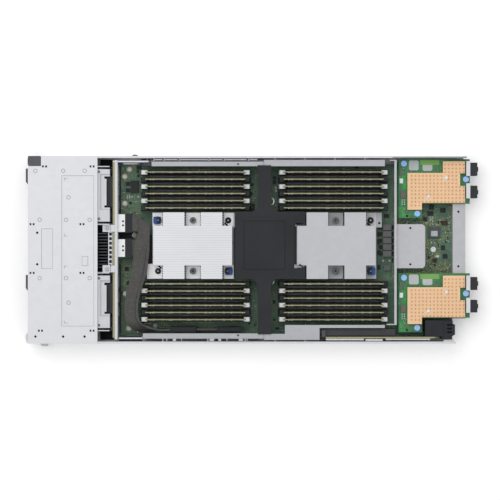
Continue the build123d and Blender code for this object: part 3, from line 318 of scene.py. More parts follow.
def board_parts(name):
    """Ferrite grey on the row of chokes and black resin on the other packages."""
    look, place = material(name, 0.55)
    chokes = calc("LESS_THAN", away(split(place)[0], CHOKE_ROW), CHOKE_HALF * MM)
    spark = noise(place, 900.0, 3)
    grey = between(spark, (0.140, 0.140, 0.140), (0.182, 0.181, 0.181))
    dark = between(spark, (0.018, 0.019, 0.020), (0.034, 0.035, 0.037))
    paint(mix(chokes, dark, grey), spark, 0.25, 0.0002)
    return look


def chip_banks(name, pitch=11.6):
    """Memory packages side by side along a module, with the board showing between them."""
    look, place = material(name, 0.45)
    step = repeated(split(place)[0], pitch)
    gap = ramp(step, (0.80, 0.0), (0.83, 1.0), (0.97, 1.0), (1.0, 0.0))
    resin = between(noise(place, 1100.0, 2), (0.014, 0.016, 0.017), (0.028, 0.030, 0.032))
    paint(mix(gap, resin, (0.10, 0.11, 0.07)), gap, 0.4)
    return look


def bare_label(name, tone):
    """Label stock without print: a plain tone with faint fibres."""
    look, place = material(name, 0.55)
    fibre = noise(place, 500.0, 4)
    paint(between(fibre, scaled(tone, 0.93), scaled(tone, 1.05)), fibre, 0.1, 0.0001)
    return look


# Metals
PANELS = ((-232.35, -1.5, 21.4, 100.3), (-273.35, 1.5, 7.35, 26.55), (-222.85, -15.0, 3.85, 6.05))
ROUND, EVEN = (800, 800, 60), (200, 200, 200)
ZINC = sheet_metal("zinc_bright", (0.60, 0.605, 0.63), (0.69, 0.695, 0.72))
ZINC_COVER = sheet_metal("zinc_cover", (0.61, 0.615, 0.64), (0.675, 0.68, 0.705), panels=PANELS)
ZINC_PAN = sheet_metal("zinc_pan", (0.54, 0.545, 0.57), (0.65, 0.655, 0.68))
# The next two are the same zinc sheet, darkened as painted shade for the deeper brackets, crossbar and side
# brackets
ZINC_SHADED_MID = sheet_metal("zinc_shaded_mid", (0.42, 0.425, 0.45), (0.50, 0.505, 0.53))
ZINC_SHADED_LOW = sheet_metal("zinc_shaded_low", (0.37, 0.375, 0.40), (0.44, 0.445, 0.47))
ZINC_CAGE = sheet_metal("zinc_cage", (0.53, 0.535, 0.56), (0.62, 0.625, 0.65))
# Dark zinc: painted shade on the cover's pressed rings and on the wall's rear upper edge, and the tone of the
# clip dots and the shroud clip plates
ZINC_SHADE_AND_DARK = sheet_metal("zinc_shade_and_dark", (0.22, 0.225, 0.235), (0.29, 0.295, 0.305))
DRIVE = sheet_metal("drive_case", (0.53, 0.535, 0.56), (0.61, 0.615, 0.64), 0.2, (400, 30, 30))
FINS_BRIGHT = grooved_roof("fins_bright")
FINS_GREY = sheet_metal("fins_grey", (0.455, 0.46, 0.485), (0.52, 0.525, 0.555), 0.2, (30, 700, 700))
# Near-white plate for the front heatsink's pocket floors, its tone raised as painted light on the deep,
# shaded floors
SINK_PLATE_PAINTED_LIGHT = sheet_metal("sink_plate_painted_light", (0.88, 0.885, 0.90), (0.93, 0.935, 0.95), 0.28, rough=(0.24, 0.34))
SINK_PLATE_GREY = sheet_metal("sink_plate_grey", (0.62, 0.625, 0.65), (0.70, 0.705, 0.73), 0.1)
COPPER = sheet_metal("copper_coat", (0.78, 0.525, 0.31), (0.86, 0.59, 0.365), 0.1, EVEN)
# Darker copper for the pin studs: painted shade on the pins' sides
COPPER_PIN_SHADED = sheet_metal("copper_pin_shaded", (0.60, 0.34, 0.18), (0.70, 0.42, 0.24), 0.1, EVEN)
STEEL = sheet_metal("plated_steel", (0.36, 0.365, 0.38), (0.52, 0.525, 0.54), 0.7, ROUND)
STEEL_DARK = sheet_metal("dark_screw", (0.10, 0.102, 0.108), (0.17, 0.173, 0.18), 0.5, ROUND)
SCREW_GREY = sheet_metal("screw_grey", (0.15, 0.152, 0.158), (0.22, 0.222, 0.228), 0.4, ROUND)
# Near-white and not metallic, for the board screws: painted light on screws that sit in shade
SCREW_PAINTED_LIGHT = sheet_metal("screw_painted_light", (0.90, 0.905, 0.915), (0.96, 0.965, 0.975), 0.0)
BRASS = sheet_metal("brass_stud", (0.12, 0.10, 0.07), (0.20, 0.165, 0.12), 0.3, (600, 600, 60))

# Plastics, resins and the tiny parts on the boards
BLACK = moulded("black_plastic", (0.015, 0.016, 0.019), (0.023, 0.024, 0.028))
BLACK_SOFT = moulded("black_resin", (0.021, 0.022, 0.025), (0.031, 0.032, 0.036), 0.55)
# Deep black: painted shade in holes, recesses, wells and gaps, and the colour of the shroud's corner wire
BLACK_SHADE_AND_WIRE = moulded("black_shade_and_wire", (0.008, 0.010, 0.009), (0.014, 0.016, 0.015), 0.6)
GREY_DARK = moulded("dark_grey_plastic", (0.076, 0.078, 0.086), (0.094, 0.096, 0.106))
CHARCOAL = moulded("charcoal_plastic", (0.050, 0.051, 0.056), (0.066, 0.067, 0.074))
WHITE = moulded("white_plastic", (0.74, 0.745, 0.765), (0.84, 0.845, 0.86))
BLUE = moulded("clip_blue", (0.025, 0.075, 0.27), (0.04, 0.11, 0.36), 0.42)
NAVY = moulded("latch_navy", (0.02, 0.032, 0.11), (0.032, 0.045, 0.15), 0.45)
SKY = moulded("screw_blue", (0.33, 0.52, 0.93), (0.40, 0.60, 0.98), 0.4)
GLOW = moulded("lamp_lens", (0.25, 0.42, 0.55), (0.33, 0.52, 0.66), 0.3)
LATCH = row_latches("latch_two_tone")
RIBBON = woven("ribbon_woven")
CHOKE = board_parts("board_parts")
CHIP_BANK = chip_banks("chip_banks")
CHIP = moulded("chip_resin", (0.016, 0.018, 0.019), (0.030, 0.032, 0.034), 0.48)
GREY_CHIP = moulded("grey_chip", (0.150, 0.141, 0.128), (0.195, 0.182, 0.164), 0.5)
COPPER_BROWN = moulded("brown_chip", (0.075, 0.042, 0.032), (0.105, 0.062, 0.048), 0.5)
ROW_GAP = moulded("row_gap", (0.22, 0.28, 0.26), (0.31, 0.37, 0.345), 0.6, 700.0)
ROW_BITS = moulded("row_bits", (0.62, 0.50, 0.43), (0.78, 0.66, 0.58), 0.5, 900.0, 0.1)
TAN = moulded("ceramic_tan", (0.30, 0.22, 0.14), (0.42, 0.32, 0.21), 0.5, 900.0, 0.1)
PALE = moulded("tinned_part", (0.50, 0.51, 0.50), (0.66, 0.67, 0.66), 0.45, 900.0, 0.1)
CREAM = moulded("edge_cream", (0.56, 0.53, 0.37), (0.66, 0.63, 0.46), 0.5, 900.0, 0.1)
GOLD = moulded("gold_strip", (0.36, 0.30, 0.09), (0.50, 0.42, 0.14), 0.5, 900.0, 0.1)
TRACE = moulded("trace_gold", (0.35, 0.37, 0.12), (0.49, 0.49, 0.19), 0.5, 900.0, 0.1)

# Circuit boards and labels
MODULE_EDGE, UPRIGHT_EDGE = (0.34, 0.31, 0.185), (0.38, 0.365, 0.205)
BOARD = laminate("board_green", (0.092, 0.178, 0.125), (0.175, 0.255, 0.15), (0.50, 0.47, 0.27))
MEZZ = laminate("board_bright_green", (0.050, 0.205, 0.085), (0.09, 0.29, 0.13), scale=1.6)
POUR = laminate("pour_green", (0.050, 0.30, 0.085), (0.09, 0.42, 0.14), scale=2.4)
STICK = laminate("module_green", (0.028, 0.052, 0.042), (0.045, 0.085, 0.066), edge=MODULE_EDGE, scale=1.8)
UPRIGHT = laminate("upright_green", (0.04, 0.085, 0.06), (0.07, 0.13, 0.09), edge=UPRIGHT_EDGE, scale=1.3)
LABEL_GREY = bare_label("label_grey", (0.50, 0.52, 0.535))
LABEL_GREEN = bare_label("label_green", (0.19, 0.39, 0.105))
LABEL_WHITE = bare_label("label_white", (0.50, 0.53, 0.55))


# Materials of the CAD nodes

def dress(look, names):
    for name in names.split():
        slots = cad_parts[name].data.materials
        slots.clear()
        slots.append(look)


dress(ZINC_PAN, "base_pan")
dress(ZINC_COVER, "drive_cage_cover")
dress(ZINC_CAGE, "drive_cage_frame backplane_bracket release_handle")
dress(ZINC_SHADED_MID, "rear_bracket rear_crossbar")
dress(ZINC_SHADED_LOW, "side_brackets power_button")
dress(STEEL, "cpu_packages cpu_sockets")
dress(STEEL_DARK, "handle_pivot_pin heatsink_screws")
dress(GREY_DARK, "latch_housing")
dress(CHARCOAL, "release_button front_panel vent_duct riser_holder")
dress(BLACK, "ribbon_plugs air_shroud power_connector")
dress(BLACK_SOFT, "drive_sockets dimm_sockets mezz_connectors")
dress(WHITE, "ribbon_headers")
dress(RIBBON, "ribbon_cable")
dress(BOARD, "system_board")
dress(UPRIGHT, "backplane_board riser_board")
dress(MEZZ, "mezz_board_1 mezz_board_2")
dress(COPPER, "mezz_heatsink_1 mezz_heatsink_2")
dress(SKY, "mezz_screws")
dress(STICK, "dimm_modules")
dress(CHIP_BANK, "dimm_chips")
dress(CHOKE, "board_components")
dress(FINS_BRIGHT, "heatsink_front")
dress(FINS_GREY, "heatsink_rear")
dress(BLUE, "heatsink_clips")
for bank in ("front", "rear"):
    dress(LATCH, f"dimm_latches_{bank}_fore dimm_latches_{bank}_aft")
for i in range(1, 5):
    dress(CHARCOAL, f"drive_carrier_{i}")
    dress(GREY_DARK, f"carrier_lever_{i} carrier_button_{i}")
    dress(DRIVE, f"drive_{i}")


# Shape helpers: each piece is one mesh made of many small forms, in millimetres

def piece(name, look, shape, smooth=False, body="chassis"):
    """An object made of a shape in millimetres, riding a body."""
    for v in shape.verts:
        v.co *= MM
    bmesh.ops.recalc_face_normals(shape, faces=shape.faces)
    mesh = bpy.data.meshes.new(name)
    shape.to_mesh(mesh)
    shape.free()
    if smooth:
        mesh.shade_smooth()
    mesh.materials.append(look)
    item = bpy.data.objects.new(name, mesh)
    scene.collection.objects.link(item)
    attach(item, body)
    return item


def shapes(count):
    return [bmesh.new() for _ in range(count)]


def slab(shape, x0, x1, y0, y1, z0, z1, soft=0.0):
    """A box between its ends, with soft edges if asked."""
    made = bmesh.ops.create_cube(shape, size=1.0)["verts"]
    for v in made:
        v.co = Vector((x0 if v.co.x < 0 else x1, y0 if v.co.y < 0 else y1, z0 if v.co.z < 0 else z1))
    if soft:
        edges = list({e for v in made for e in v.link_edges})
        bmesh.ops.bevel(shape, geom=edges, offset=soft, segments=2, affect="EDGES", profile=0.6)


def part(shape, x0, x1, y0, y1, tall, soft=0.0, base=BOARD_TOP):
    """A small box that stands on a board."""
    slab(shape, x0, x1, y0, y1, base, base + tall, soft)


def boxes(name, look, *sizes, body="chassis"):
    shape = bmesh.new()
    for size in sizes:
        slab(shape, *size)
    piece(name, look, shape, body=body)


def skin(shape, rings):
    """Faces between rings of as many points each, closed at both ends."""
    count = len(rings[0])
    for a, b in zip(rings, rings[1:]):
        for i in range(count):
            j = (i + 1) % count
            shape.faces.new((a[i], a[j], b[j], b[i]))
    shape.faces.new(rings[0])
    shape.faces.new(rings[-1])


def lathe(shape, centre, profile, steps=28, axis="Z"):
    """A round form turned from (radius, height) pairs about a line along Z or Y."""
    rings = []
    for radius, height in profile:
        ring = []
        for i in range(steps):
            angle = 2 * math.pi * i / steps
            u, w = radius * math.cos(angle), radius * math.sin(angle)
            spot = (u, w, height) if axis == "Z" else (u, height, w)
            ring.append(shape.verts.new(Vector(centre) + Vector(spot)))
        rings.append(ring)
    skin(shape, rings)


def rod(shape, start, end, radius, steps=10):
    start, end = Vector(start), Vector(end)
    line = end - start
    made = bmesh.ops.create_cone(
        shape, cap_ends=True, segments=steps, radius1=radius, radius2=radius, depth=line.length)
    turn = line.to_track_quat("Z", "Y").to_matrix().to_4x4()
    bmesh.ops.transform(shape, matrix=Matrix.Translation((start + end) / 2) @ turn, verts=made["verts"])


def arc(shape, centre, inner, outer, start, end, height, steps=14):
    """A flat curved strip on top of a face, narrower at its ends."""
    rings = []
    middle = (inner + outer) / 2
    for i in range(steps + 1):
        angle = start + (end - start) * i / steps
        half = (outer - inner) / 2 * (0.25 + 0.75 * math.sin(math.pi * i / steps))
        ring = []
        for radius, levels in ((middle - half, (0, height)), (middle + half, (height, 0))):
            x, y = centre[0] + radius * math.cos(angle), centre[1] + radius * math.sin(angle)
            ring += [shape.verts.new((x, y, centre[2] + level)) for level in levels]
        rings.append(ring)
    skin(shape, rings)


def rounded(shape, x0, x1, y0, y1, z0, z1, radius, steps=6):
    """A flat plate with round corners."""
    low, high = [], []
    corners = ((x0 + radius, y0 + radius, 2), (x1 - radius, y0 + radius, 3),
               (x1 - radius, y1 - radius, 0), (x0 + radius, y1 - radius, 1))
    for middle_x, middle_y, quarter in corners:
        for i in range(steps + 1):
            angle = (quarter + i / steps) * math.pi / 2
            x, y = middle_x + radius * math.cos(angle), middle_y + radius * math.sin(angle)
            low.append(shape.verts.new((x, y, z0)))
            high.append(shape.verts.new((x, y, z1)))
    skin(shape, (low, high))


# Pressed rings and corner marks on the cover plate, in dark zinc as painted shade along their edges
shape = bmesh.new()
raised = ((-288.9, 105.3), (-251.9, 105.3), (-223.2, 105.3), (-283.2, 40), (-283.1, -37.8))
sunk = ((-248.1, 40), (-216.5, 40), (-248.1, -37.8), (-216.5, -37.8), (-244.7, 69.8), (-244.7, -70.5))
for spots, face in ((raised, COVER_TOP), (sunk, COVER_SUNK)):
    for x, y in spots:
        lathe(shape, (x, y, face), ((2.75, -0.05), (2.6, 0.16), (2.2, 0.16), (2.0, -0.05)))
for y, turn in ((95.3, -1), (18.3, 1), (-21.7, -1), (-97.7, 1)):
    for x1, y0, y1 in ((-246.0, y - 0.3, y + 0.3), (-250.0, y, y + turn * 3.2)):
        slab(shape, -250.6, x1, y0, y1, COVER_SUNK - 0.05, COVER_SUNK + 0.12)
piece("cover_ring_shade", ZINC_SHADE_AND_DARK, shape)

# Shade under the cover's openings and on the floor of the wells about the bays
shape = bmesh.new()
for x, y in ((-286.4, 22.7), (-286.4, -19.4), (-288.8, -115.7), (-251.9, -115.7), (-223.3, -115.7)):
    lathe(shape, (x, y, 40.8), ((2.4, 0), (2.4, 0.1)))
for y, runs in ((34.1, (5.6, 72.1)), (111.1, (22.2, 85.6)), (-107.85, (16.8, 85.6)),
                (-30.85, (5.6, 72.1))):
    for run in runs:
        for step in (-2.1, 2.1):
            x = COVER_FRONT + run + step
            slab(shape, x - 1.15, x + 1.15, y - 1.35, y + 1.35, 40.96, 41.06)
for x0, x1, y0, y1 in ((-205.8, -186.8, 112.2, 122.0), (-205.8, -186.8, -122.0, -109.2),
                       (-189.6, -186.6, -115.0, 115.0)):
    part(shape, x0, x1, y0, y1, 0.25, base=PAN_FLOOR)
piece("well_film", BLACK_SHADE_AND_WIRE, shape)

# Screws, rim and marks of the upper drive in each bay; the marks are thin lines of painted shade along the
# steps of the drive's top
for i, bay in zip((1, 3), BAYS):
    screws, rim, marks = shapes(3)
    for side in (-1, 1):
        spot = (-204.3, bay + side * 31.4, DRIVE_TOP)
        lathe(screws, spot, ((1.9, 0), (1.8, 0.35), (1.2, 0.4), (1.0, 0.1)), 20)
    slab(rim, -197.2, -194.4, bay - 13.4, bay + 22.1, DRIVE_TOP - 2.7, DRIVE_TOP)
    part(marks, -202.5, -201.7, bay - 19.4, bay + 28.1, 0.04, base=DRIVE_TOP)
    for y in (bay - 19.4, bay + 27.4):
        part(marks, -201.7, -190.4, y, y + 0.7, 0.04, base=DRIVE_TOP)
    piece(f"drive_screws_{i}", SCREW_GREY, screws, True, f"carrier_{i}")
    piece(f"drive_rim_{i}", DRIVE, rim, body=f"carrier_{i}")
    piece(f"drive_step_shade_{i}", ZINC_SHADED_LOW, marks, body=f"carrier_{i}")

# Screws and bridges of the brace's tabs, and dark sheets in its square openings as painted shade
screws, openings = shapes(2)
for y in (28.9, -25.65):
    lathe(screws, (-193.6, y, TAB_TOP), ((2.9, 0), (2.8, 0.9), (2.1, 1.5), (1.0, 1.6), (0.9, 0.9)))
piece("tab_screws", STEEL, screws, True)
pitch = 6.12
for k in range(-3, 4):
    rounded(openings, -190.95, -187.25, 0.55 + k * pitch, 4.65 + k * pitch, 36.6, 36.64, 0.8)
piece("brace_opening_shade", BLACK_SHADE_AND_WIRE, openings)
bridges = [(-188.4, -183.2, y - 4.6, y + 4.6, TAB_TOP, TAB_TOP + 0.5) for y in (28.7, -25.6)]
boxes("tab_bridges", ZINC_CAGE, *bridges)

# Shell of the port, lamps of the panel and lamps of the carriers
x0, x1 = PANEL_FRONT, -295.2
boxes("port_shell", STEEL,
      (x0, x1, 17.4, 18.0, 16.0, 21.2), (x0, x1, 29.6, 30.2, 16.0, 21.2),
      (x0, x1, 18.0, 29.6, 16.0, 16.5), (x0, x1, 18.0, 29.6, 20.7, 21.2))
boxes("panel_lamps", GLOW, *[(-299.2, -298.8, y, y + 2.0, 35.0, 37.0, 0.2) for y in (12.0, 15.5)])
carriers = [(bay, level) for bay in BAYS for level in CARRIER_LEVELS]
for i, (bay, level) in enumerate(carriers, start=1):
    lamps = [(-299.15, -298.85, bay - 37.3, bay - 36.5, z, z + 4, 0.1) for z in (level + 4, level + 9)]
    boxes(f"carrier_lamps_{i}", GLOW, *lamps, body=f"carrier_{i}")

# Board screws on their plated rings, and the large bright screw at the rear, in a near-white tone that is
# painted light
screws, pads = shapes(2)
for x, y in ((-166, 109), (-172.3, 99.2), (-172.3, 62.5), (-172, -59.7), (-166.6, -106.6),
             (-159.8, 19.8)):
    lathe(screws, (x, y, BOARD_TOP), ((3.0, 0), (2.9, 1.2), (2.2, 1.9), (1.1, 2.0), (1.0, 1.1)))
    lathe(pads, (x, y, BOARD_TOP), ((3.9, 0), (3.9, 0.08)))
lathe(screws, (244.9, 0.4, BOARD_TOP), ((3.9, 0), (3.8, 1.5), (3.0, 2.3), (1.5, 2.4), (1.4, 1.3)))
piece("screw_pads", CREAM, pads)
piece("board_screws", SCREW_PAINTED_LIGHT, screws, True)

# Stud on the side wall
shape = bmesh.new()
lathe(shape, (-156.9, 125.05, 30.0), ((3.8, 0), (3.8, 1.2), (3.1, 2.1), (1.6, 2.5)), axis="Y")
piece("wall_stud", BRASS, shape, True)


def roof_runs(from_middle, band):
    """Stretches that a heatsink fills at a distance from its middle line."""
    if abs(from_middle) < band:
        return ((-SINK_HALF_X, SINK_HALF_X),)
    return ((-LOBE_OUT, -LOBE_IN), (LOBE_IN, LOBE_OUT))


def fine_fins(n, mid_x, mid_y, look, gaps=13):
    """Two thin fins in each gap between the source's fins."""
    shape = bmesh.new()
    for i in range(gaps):
        for third in (1, 2):
            y = (i - gaps / 2 + third / 3) * FIN_PITCH
            for x0, x1 in roof_runs(y, BAND):
                slab(shape, mid_x + x0, mid_x + x1, mid_y + y - 0.2, mid_y + y + 0.2, 17.4, 38.0)
    piece(f"fine_fins_{n}", look, shape)


def pocket_floors(n, mid_x, mid_y, look):
    """Bare plate in the pockets, with a flange on the front heatsink."""
    shape = bmesh.new()
    spans = ((0.2 - LOBE_IN, LOBE_IN - 0.2), (-PLATE_HALF, -LOBE_OUT - 0.2), (LOBE_OUT + 0.2, PLATE_HALF))
    for side in (-1, 1):
        near, far = sorted((mid_y + side * (BAND + 0.3), mid_y + side * (SINK_HALF_Y - 0.2)))
        for x0, x1 in spans:
            slab(shape, mid_x + x0, mid_x + x1, near, far, PLATE_LOW, PLATE_TOP)
    if n == 1:
        slab(shape, mid_x - 62.0, mid_x - PLATE_HALF, -39.0, -18.9, PLATE_LOW, PLATE_TOP)
    piece(f"pocket_floors_{n}", look, shape)


def roof_ribs(mid_x, mid_y):
    shape = bmesh.new()
    for k in range(-12, 16):
        y = (k + 0.5) * RIB_PITCH
        if abs(y - mid_y) > SINK_HALF_Y - 2.4:
            continue
        for x0, x1 in roof_runs(y - mid_y, BAND - 1.3):
            slab(shape, mid_x + x0 + 0.1, mid_x + x1 - 0.1, y - 1.25, y + 1.25, 38.55, 38.8)
    piece("roof_ribs", FINS_BRIGHT, shape)


# Fins, floors and ribs of both heatsinks
looks = ((FINS_BRIGHT, SINK_PLATE_PAINTED_LIGHT), (FINS_GREY, SINK_PLATE_GREY))
for n, (centre, (fins, plate)) in enumerate(zip(SINKS, looks), start=1):
    fine_fins(n, *centre, fins)
    pocket_floors(n, *centre, plate)
roof_ribs(*SINKS[0])

# Painted shade: dark blocks at the fin ends in the pockets, and dark strips on the walls of the rear
# heatsink's pockets
shape = bmesh.new()
walls = ((-LOBE_IN, 1), (LOBE_IN, -1), (-LOBE_OUT, -1), (LOBE_OUT, 1))
for mid_x, mid_y in SINKS:
    front = mid_x < 0
    for side in (-1, 1):
        for wall, turn in walls:
            x = mid_x + wall
            wide = 1.9 if front and wall in (-LOBE_IN, LOBE_OUT) else 1.0
            x0, x1 = sorted((x, x + turn * wide))
            for k in range(6):
                y = mid_y + side * (BAND + 1.6 + k * FIN_PITCH / 2)
                slab(shape, x0, x1, y - 0.95, y + 0.95, 33.5, 35.0)
            if not front and wall in (LOBE_IN, -LOBE_OUT):
                x0, x1 = sorted((x, x + turn * 1.6))
                y0, y1 = sorted((mid_y + side * (BAND + 0.2), mid_y + side * (SINK_HALF_Y - 0.3)))
                slab(shape, x0, x1, y0, y1, 36.0, 36.2)
piece("fin_end_shade", BLACK_SHADE_AND_WIRE, shape)

# Captive screws, grommets and wires of the guide posts, and blue clips
faces, socket_shade, grommets, wires, springs, grips, dots = shapes(7)
face_profile = ((4.25, -0.7), (4.25, 0.1), (4.0, 0.3), (3.3, 0.3), (3.1, 0.1), (2.6, 0.1), (2.4, 0.28),
                (1.7, 0.28), (1.6, 0.05))
for mid_x, mid_y in SINKS:
    for side in (-1, 1):
        spot = (mid_x, mid_y + side * SCREW_REACH, 23.8)
        lathe(faces, spot, face_profile)
        lathe(socket_shade, spot, ((1.2, 0.05), (1.2, 0.12)), 6)
        x, y = mid_x + side * POST_REACH, mid_y + side * SCREW_REACH
        lathe(grommets, (x, y, 17.8), ((4.1, 0), (4.1, 2.2), (3.5, 3.2), (1.15, 3.3), (1.05, 2.9)))
        rod(wires, (x - side * 4.6, y - side * 3.4, 19.4), (x - side * 0.6, y - side * 7.2, 19.0), 1.05)
        x, y = mid_x + side * CLIP_REACH, mid_y - side * SCREW_REACH
        lathe(springs, (x - side * 1.3, y, 25.95), ((3.9, 0), (3.9, 0.3), (3.6, 0.45)))
        x0, x1 = sorted((x + side * 0.3, x + side * 5.1))
        slab(grips, x0, x1, y - 4.4, y + 4.4, 25.8, 27.2, 0.8)
        lathe(dots, (x - side * 1.3, y, 26.3), ((1.25, 0), (1.25, 0.2), (0.9, 0.4)), 16)
# Dark discs in the screws' hex recesses and over the flange hole: painted shade
flange_hole = (171.3, 36.0, PLATE_TOP)
lathe(socket_shade, flange_hole, ((1.6, 0), (1.6, 0.12)), 20)
piece("screw_faces", SCREW_GREY, faces, True)
piece("screw_socket_shade", BLACK_SHADE_AND_WIRE, socket_shade)
piece("guide_grommets", BLACK, grommets, True)
piece("guide_wires", BLACK, wires, True)
piece("clip_springs", BLACK_SOFT, springs, True)
piece("clip_grips", BLUE, grips)
piece("clip_dots", ZINC_SHADE_AND_DARK, dots, True)

# Painted shade along the edge beside the rear heatsink with its corner wire, plates, and pale arcs painted as
# highlights on the shroud's corner fillets
edge, fillet_highlights = shapes(2)
part(edge, 56.0, 59.4, -18.6, 32.4, 0.06, base=SHROUD_TOP)
rod(edge, (63.0, -19.4, 39.6), (71.4, -26.2, 39.2), 1.0)
piece("shroud_edge_shade_and_wire", BLACK_SHADE_AND_WIRE, edge)
boxes("shroud_clip_plate", ZINC_SHADE_AND_DARK,
      (56.2, 60.0, -24.4, -19.8, SHROUD_TOP, SHROUD_TOP + 0.07), (60.0, 69.4, -24.4, -21.4, 39.0, 39.8),
      (57.8, 59.5, 31.4, 33.2, SHROUD_TOP, SHROUD_TOP + 0.07))
# Pale arcs: painted highlights on the shroud's corner fillets
for y, start, end in ((64.7, -1.3, 1.3), (-41.5, -1.0, 0.2)):
    arc(fillet_highlights, (24.2, y, 34.0), 4.5, 5.5, start, end, 1.0)
piece("shroud_fillet_highlights", ZINC, fillet_highlights)


def row_bits(shape, rng, bank, gap):
    """Two groups of tiny parts in a gap between rows, some left out, and one apart."""
    base = BOARD_TOP + 0.2
    for k in range(24):
        x = bank - 18.5 + k * 1.7 + (2.2 if k > 10 else 0)
        if rng.random() < 0.8:
            part(shape, x, x + 1.0, gap - 0.8, gap + 0.2, 0.5, base=base)
    part(shape, bank + 50.5, bank + 51.7, gap - 0.6, gap + 0.4, 0.5, base=base)


# Strips and tiny parts between the rows, marks on the modules and socket ends
gaps, bits, marks, towers = shapes(4)
rng = random.Random(3)
mark_runs = (-59.9, -56.2, -34.4, -31.2, -9.9, -6.7, 13.5, 19.9, 38.5, 48.1, 63.0)
for bank in BANKS:
    for side in (-1, 1):
        for i in range(ROWS):
            y = ROW_MIDDLE + side * (FIRST_ROW + i * ROW_PITCH)
            for run in mark_runs:
                slab(marks, bank + run - 0.8, bank + run + 0.8, y - 1.05, y - 0.6, 39.2, 40.12)
            for end in (-1, 1):
                x0, x1 = sorted((bank + end * 65.4, bank + end * 74.1))
                for cheek in (y - 2.5, y + 2.5):
                    slab(towers, x0, x1, cheek - 0.7, cheek + 0.7, 14.1, 16.7)
            gap = y + side * ROW_PITCH / 2
            inner = i < ROWS - 1
            if inner:
                part(gaps, bank - 62, bank + 62, gap - 1.45, gap + 1.45, 0.22)
            if inner or side > 0 or bank < 0:
                row_bits(bits, rng, bank, gap)
piece("row_gaps", ROW_GAP, gaps)
piece("row_bits", ROW_BITS, bits)
piece("module_marks", CREAM, marks)
piece("socket_towers", BLACK_SOFT, towers)


def on_plate(x, y, margin=1.2):
    """Whether a small square about the spot lies on the heatsink plate of the first card."""
    def hit(spot_x, spot_y):
        odd = False
        for (ax, ay), (bx, by) in zip(CARD_PLATE, CARD_PLATE[1:] + CARD_PLATE[:1]):
            crosses = (ay > spot_y) != (by > spot_y)
            if crosses and spot_x < ax + (spot_y - ay) / (by - ay) * (bx - ax):
                odd = not odd
        return odd
    return all(hit(x + i * margin, y + j * margin) for i in (-1, 1) for j in (-1, 1))


# Mezzanine cards: leaning studs in a grid over the heatsink plates, clear of the pins, in a darker copper
# painted as shade on the pins' sides
shape = bmesh.new()
for shift in CARD_SHIFTS:
    for i in range(16):
        for j in range(-4, 11):
            x, y = 213.8 + 4.96 * i, 99.1 - 4.94 * j
            if on_plate(x, y) and all(math.dist((x, y), pin) > 3.4 for pin in CARD_PINS):
                low, high = (x + 0.35, y + 0.5 + shift, 29.9), (x - 0.35, y - 0.5 + shift, 31.4)
                rod(shape, low, high, 0.72, 8)
piece("mezz_studs", COPPER_PIN_SHADED, shape)

# Mezzanine cards: caps, light shields, pins, bare labels, white blocks and copper pours
caps, shields, pins, labels, greens, blocks, pours = shapes(7)
for shift in CARD_SHIFTS:
    for x, y in ((203.6, 115.7), (286.9, 94.5), (221.6, 48.4)):
        spot = (x, y + shift, CARD_TOP)
        lathe(caps, spot, ((4.1, 0), (4.1, 2.0), (3.7, 2.4), (2.1, 2.4), (1.9, 2.25)))
    for y0, y1 in ((98.8, 118.7), (68.8, 89.0)):
        slab(shields, 286.6, 292.0, y0 + shift, y1 + shift, 32.05, 32.7, 0.2)
    for x, y in CARD_PINS:
        lathe(pins, (x, y + shift, 30.0), ((2.5, 0), (2.4, 1.2), (1.6, 1.9), (0.6, 2.0)))
    rounded(labels, 210.5, 223.7, 106.6 + shift, 120.0 + shift, CARD_TOP, CARD_TOP + 0.15, 2.6)
    rounded(labels, 228.8, 242.0, 105.7 + shift, 119.0 + shift, CARD_TOP, CARD_TOP + 0.13, 2.6)
    part(greens, 225.6, 251.3, 114.0 + shift, 120.6 + shift, 0.1, base=CARD_TOP + 0.16)
    part(blocks, 197.6, 202.4, 89.0 + shift, 95.6 + shift, 3.6, 0.3, base=CARD_TOP)
    for x0, x1, y0, y1 in ((197.0, 206.9, 80.6, 99.6), (197.0, 206.9, 43.0, 57.4),
                           (206.9, 213.0, 43.0, 53.0)):
        part(pours, x0, x1, y0 + shift, y1 + shift, 0.04, base=CARD_TOP)
piece("mezz_screw_caps", SKY, caps, True)
piece("mezz_shields", ZINC, shields)
piece("mezz_pins", WHITE, pins, True)
piece("mezz_labels_grey", LABEL_GREY, labels)
piece("mezz_labels_green", LABEL_GREEN, greens)
piece("mezz_blocks", WHITE, blocks)
piece("mezz_pours", POUR, pours)


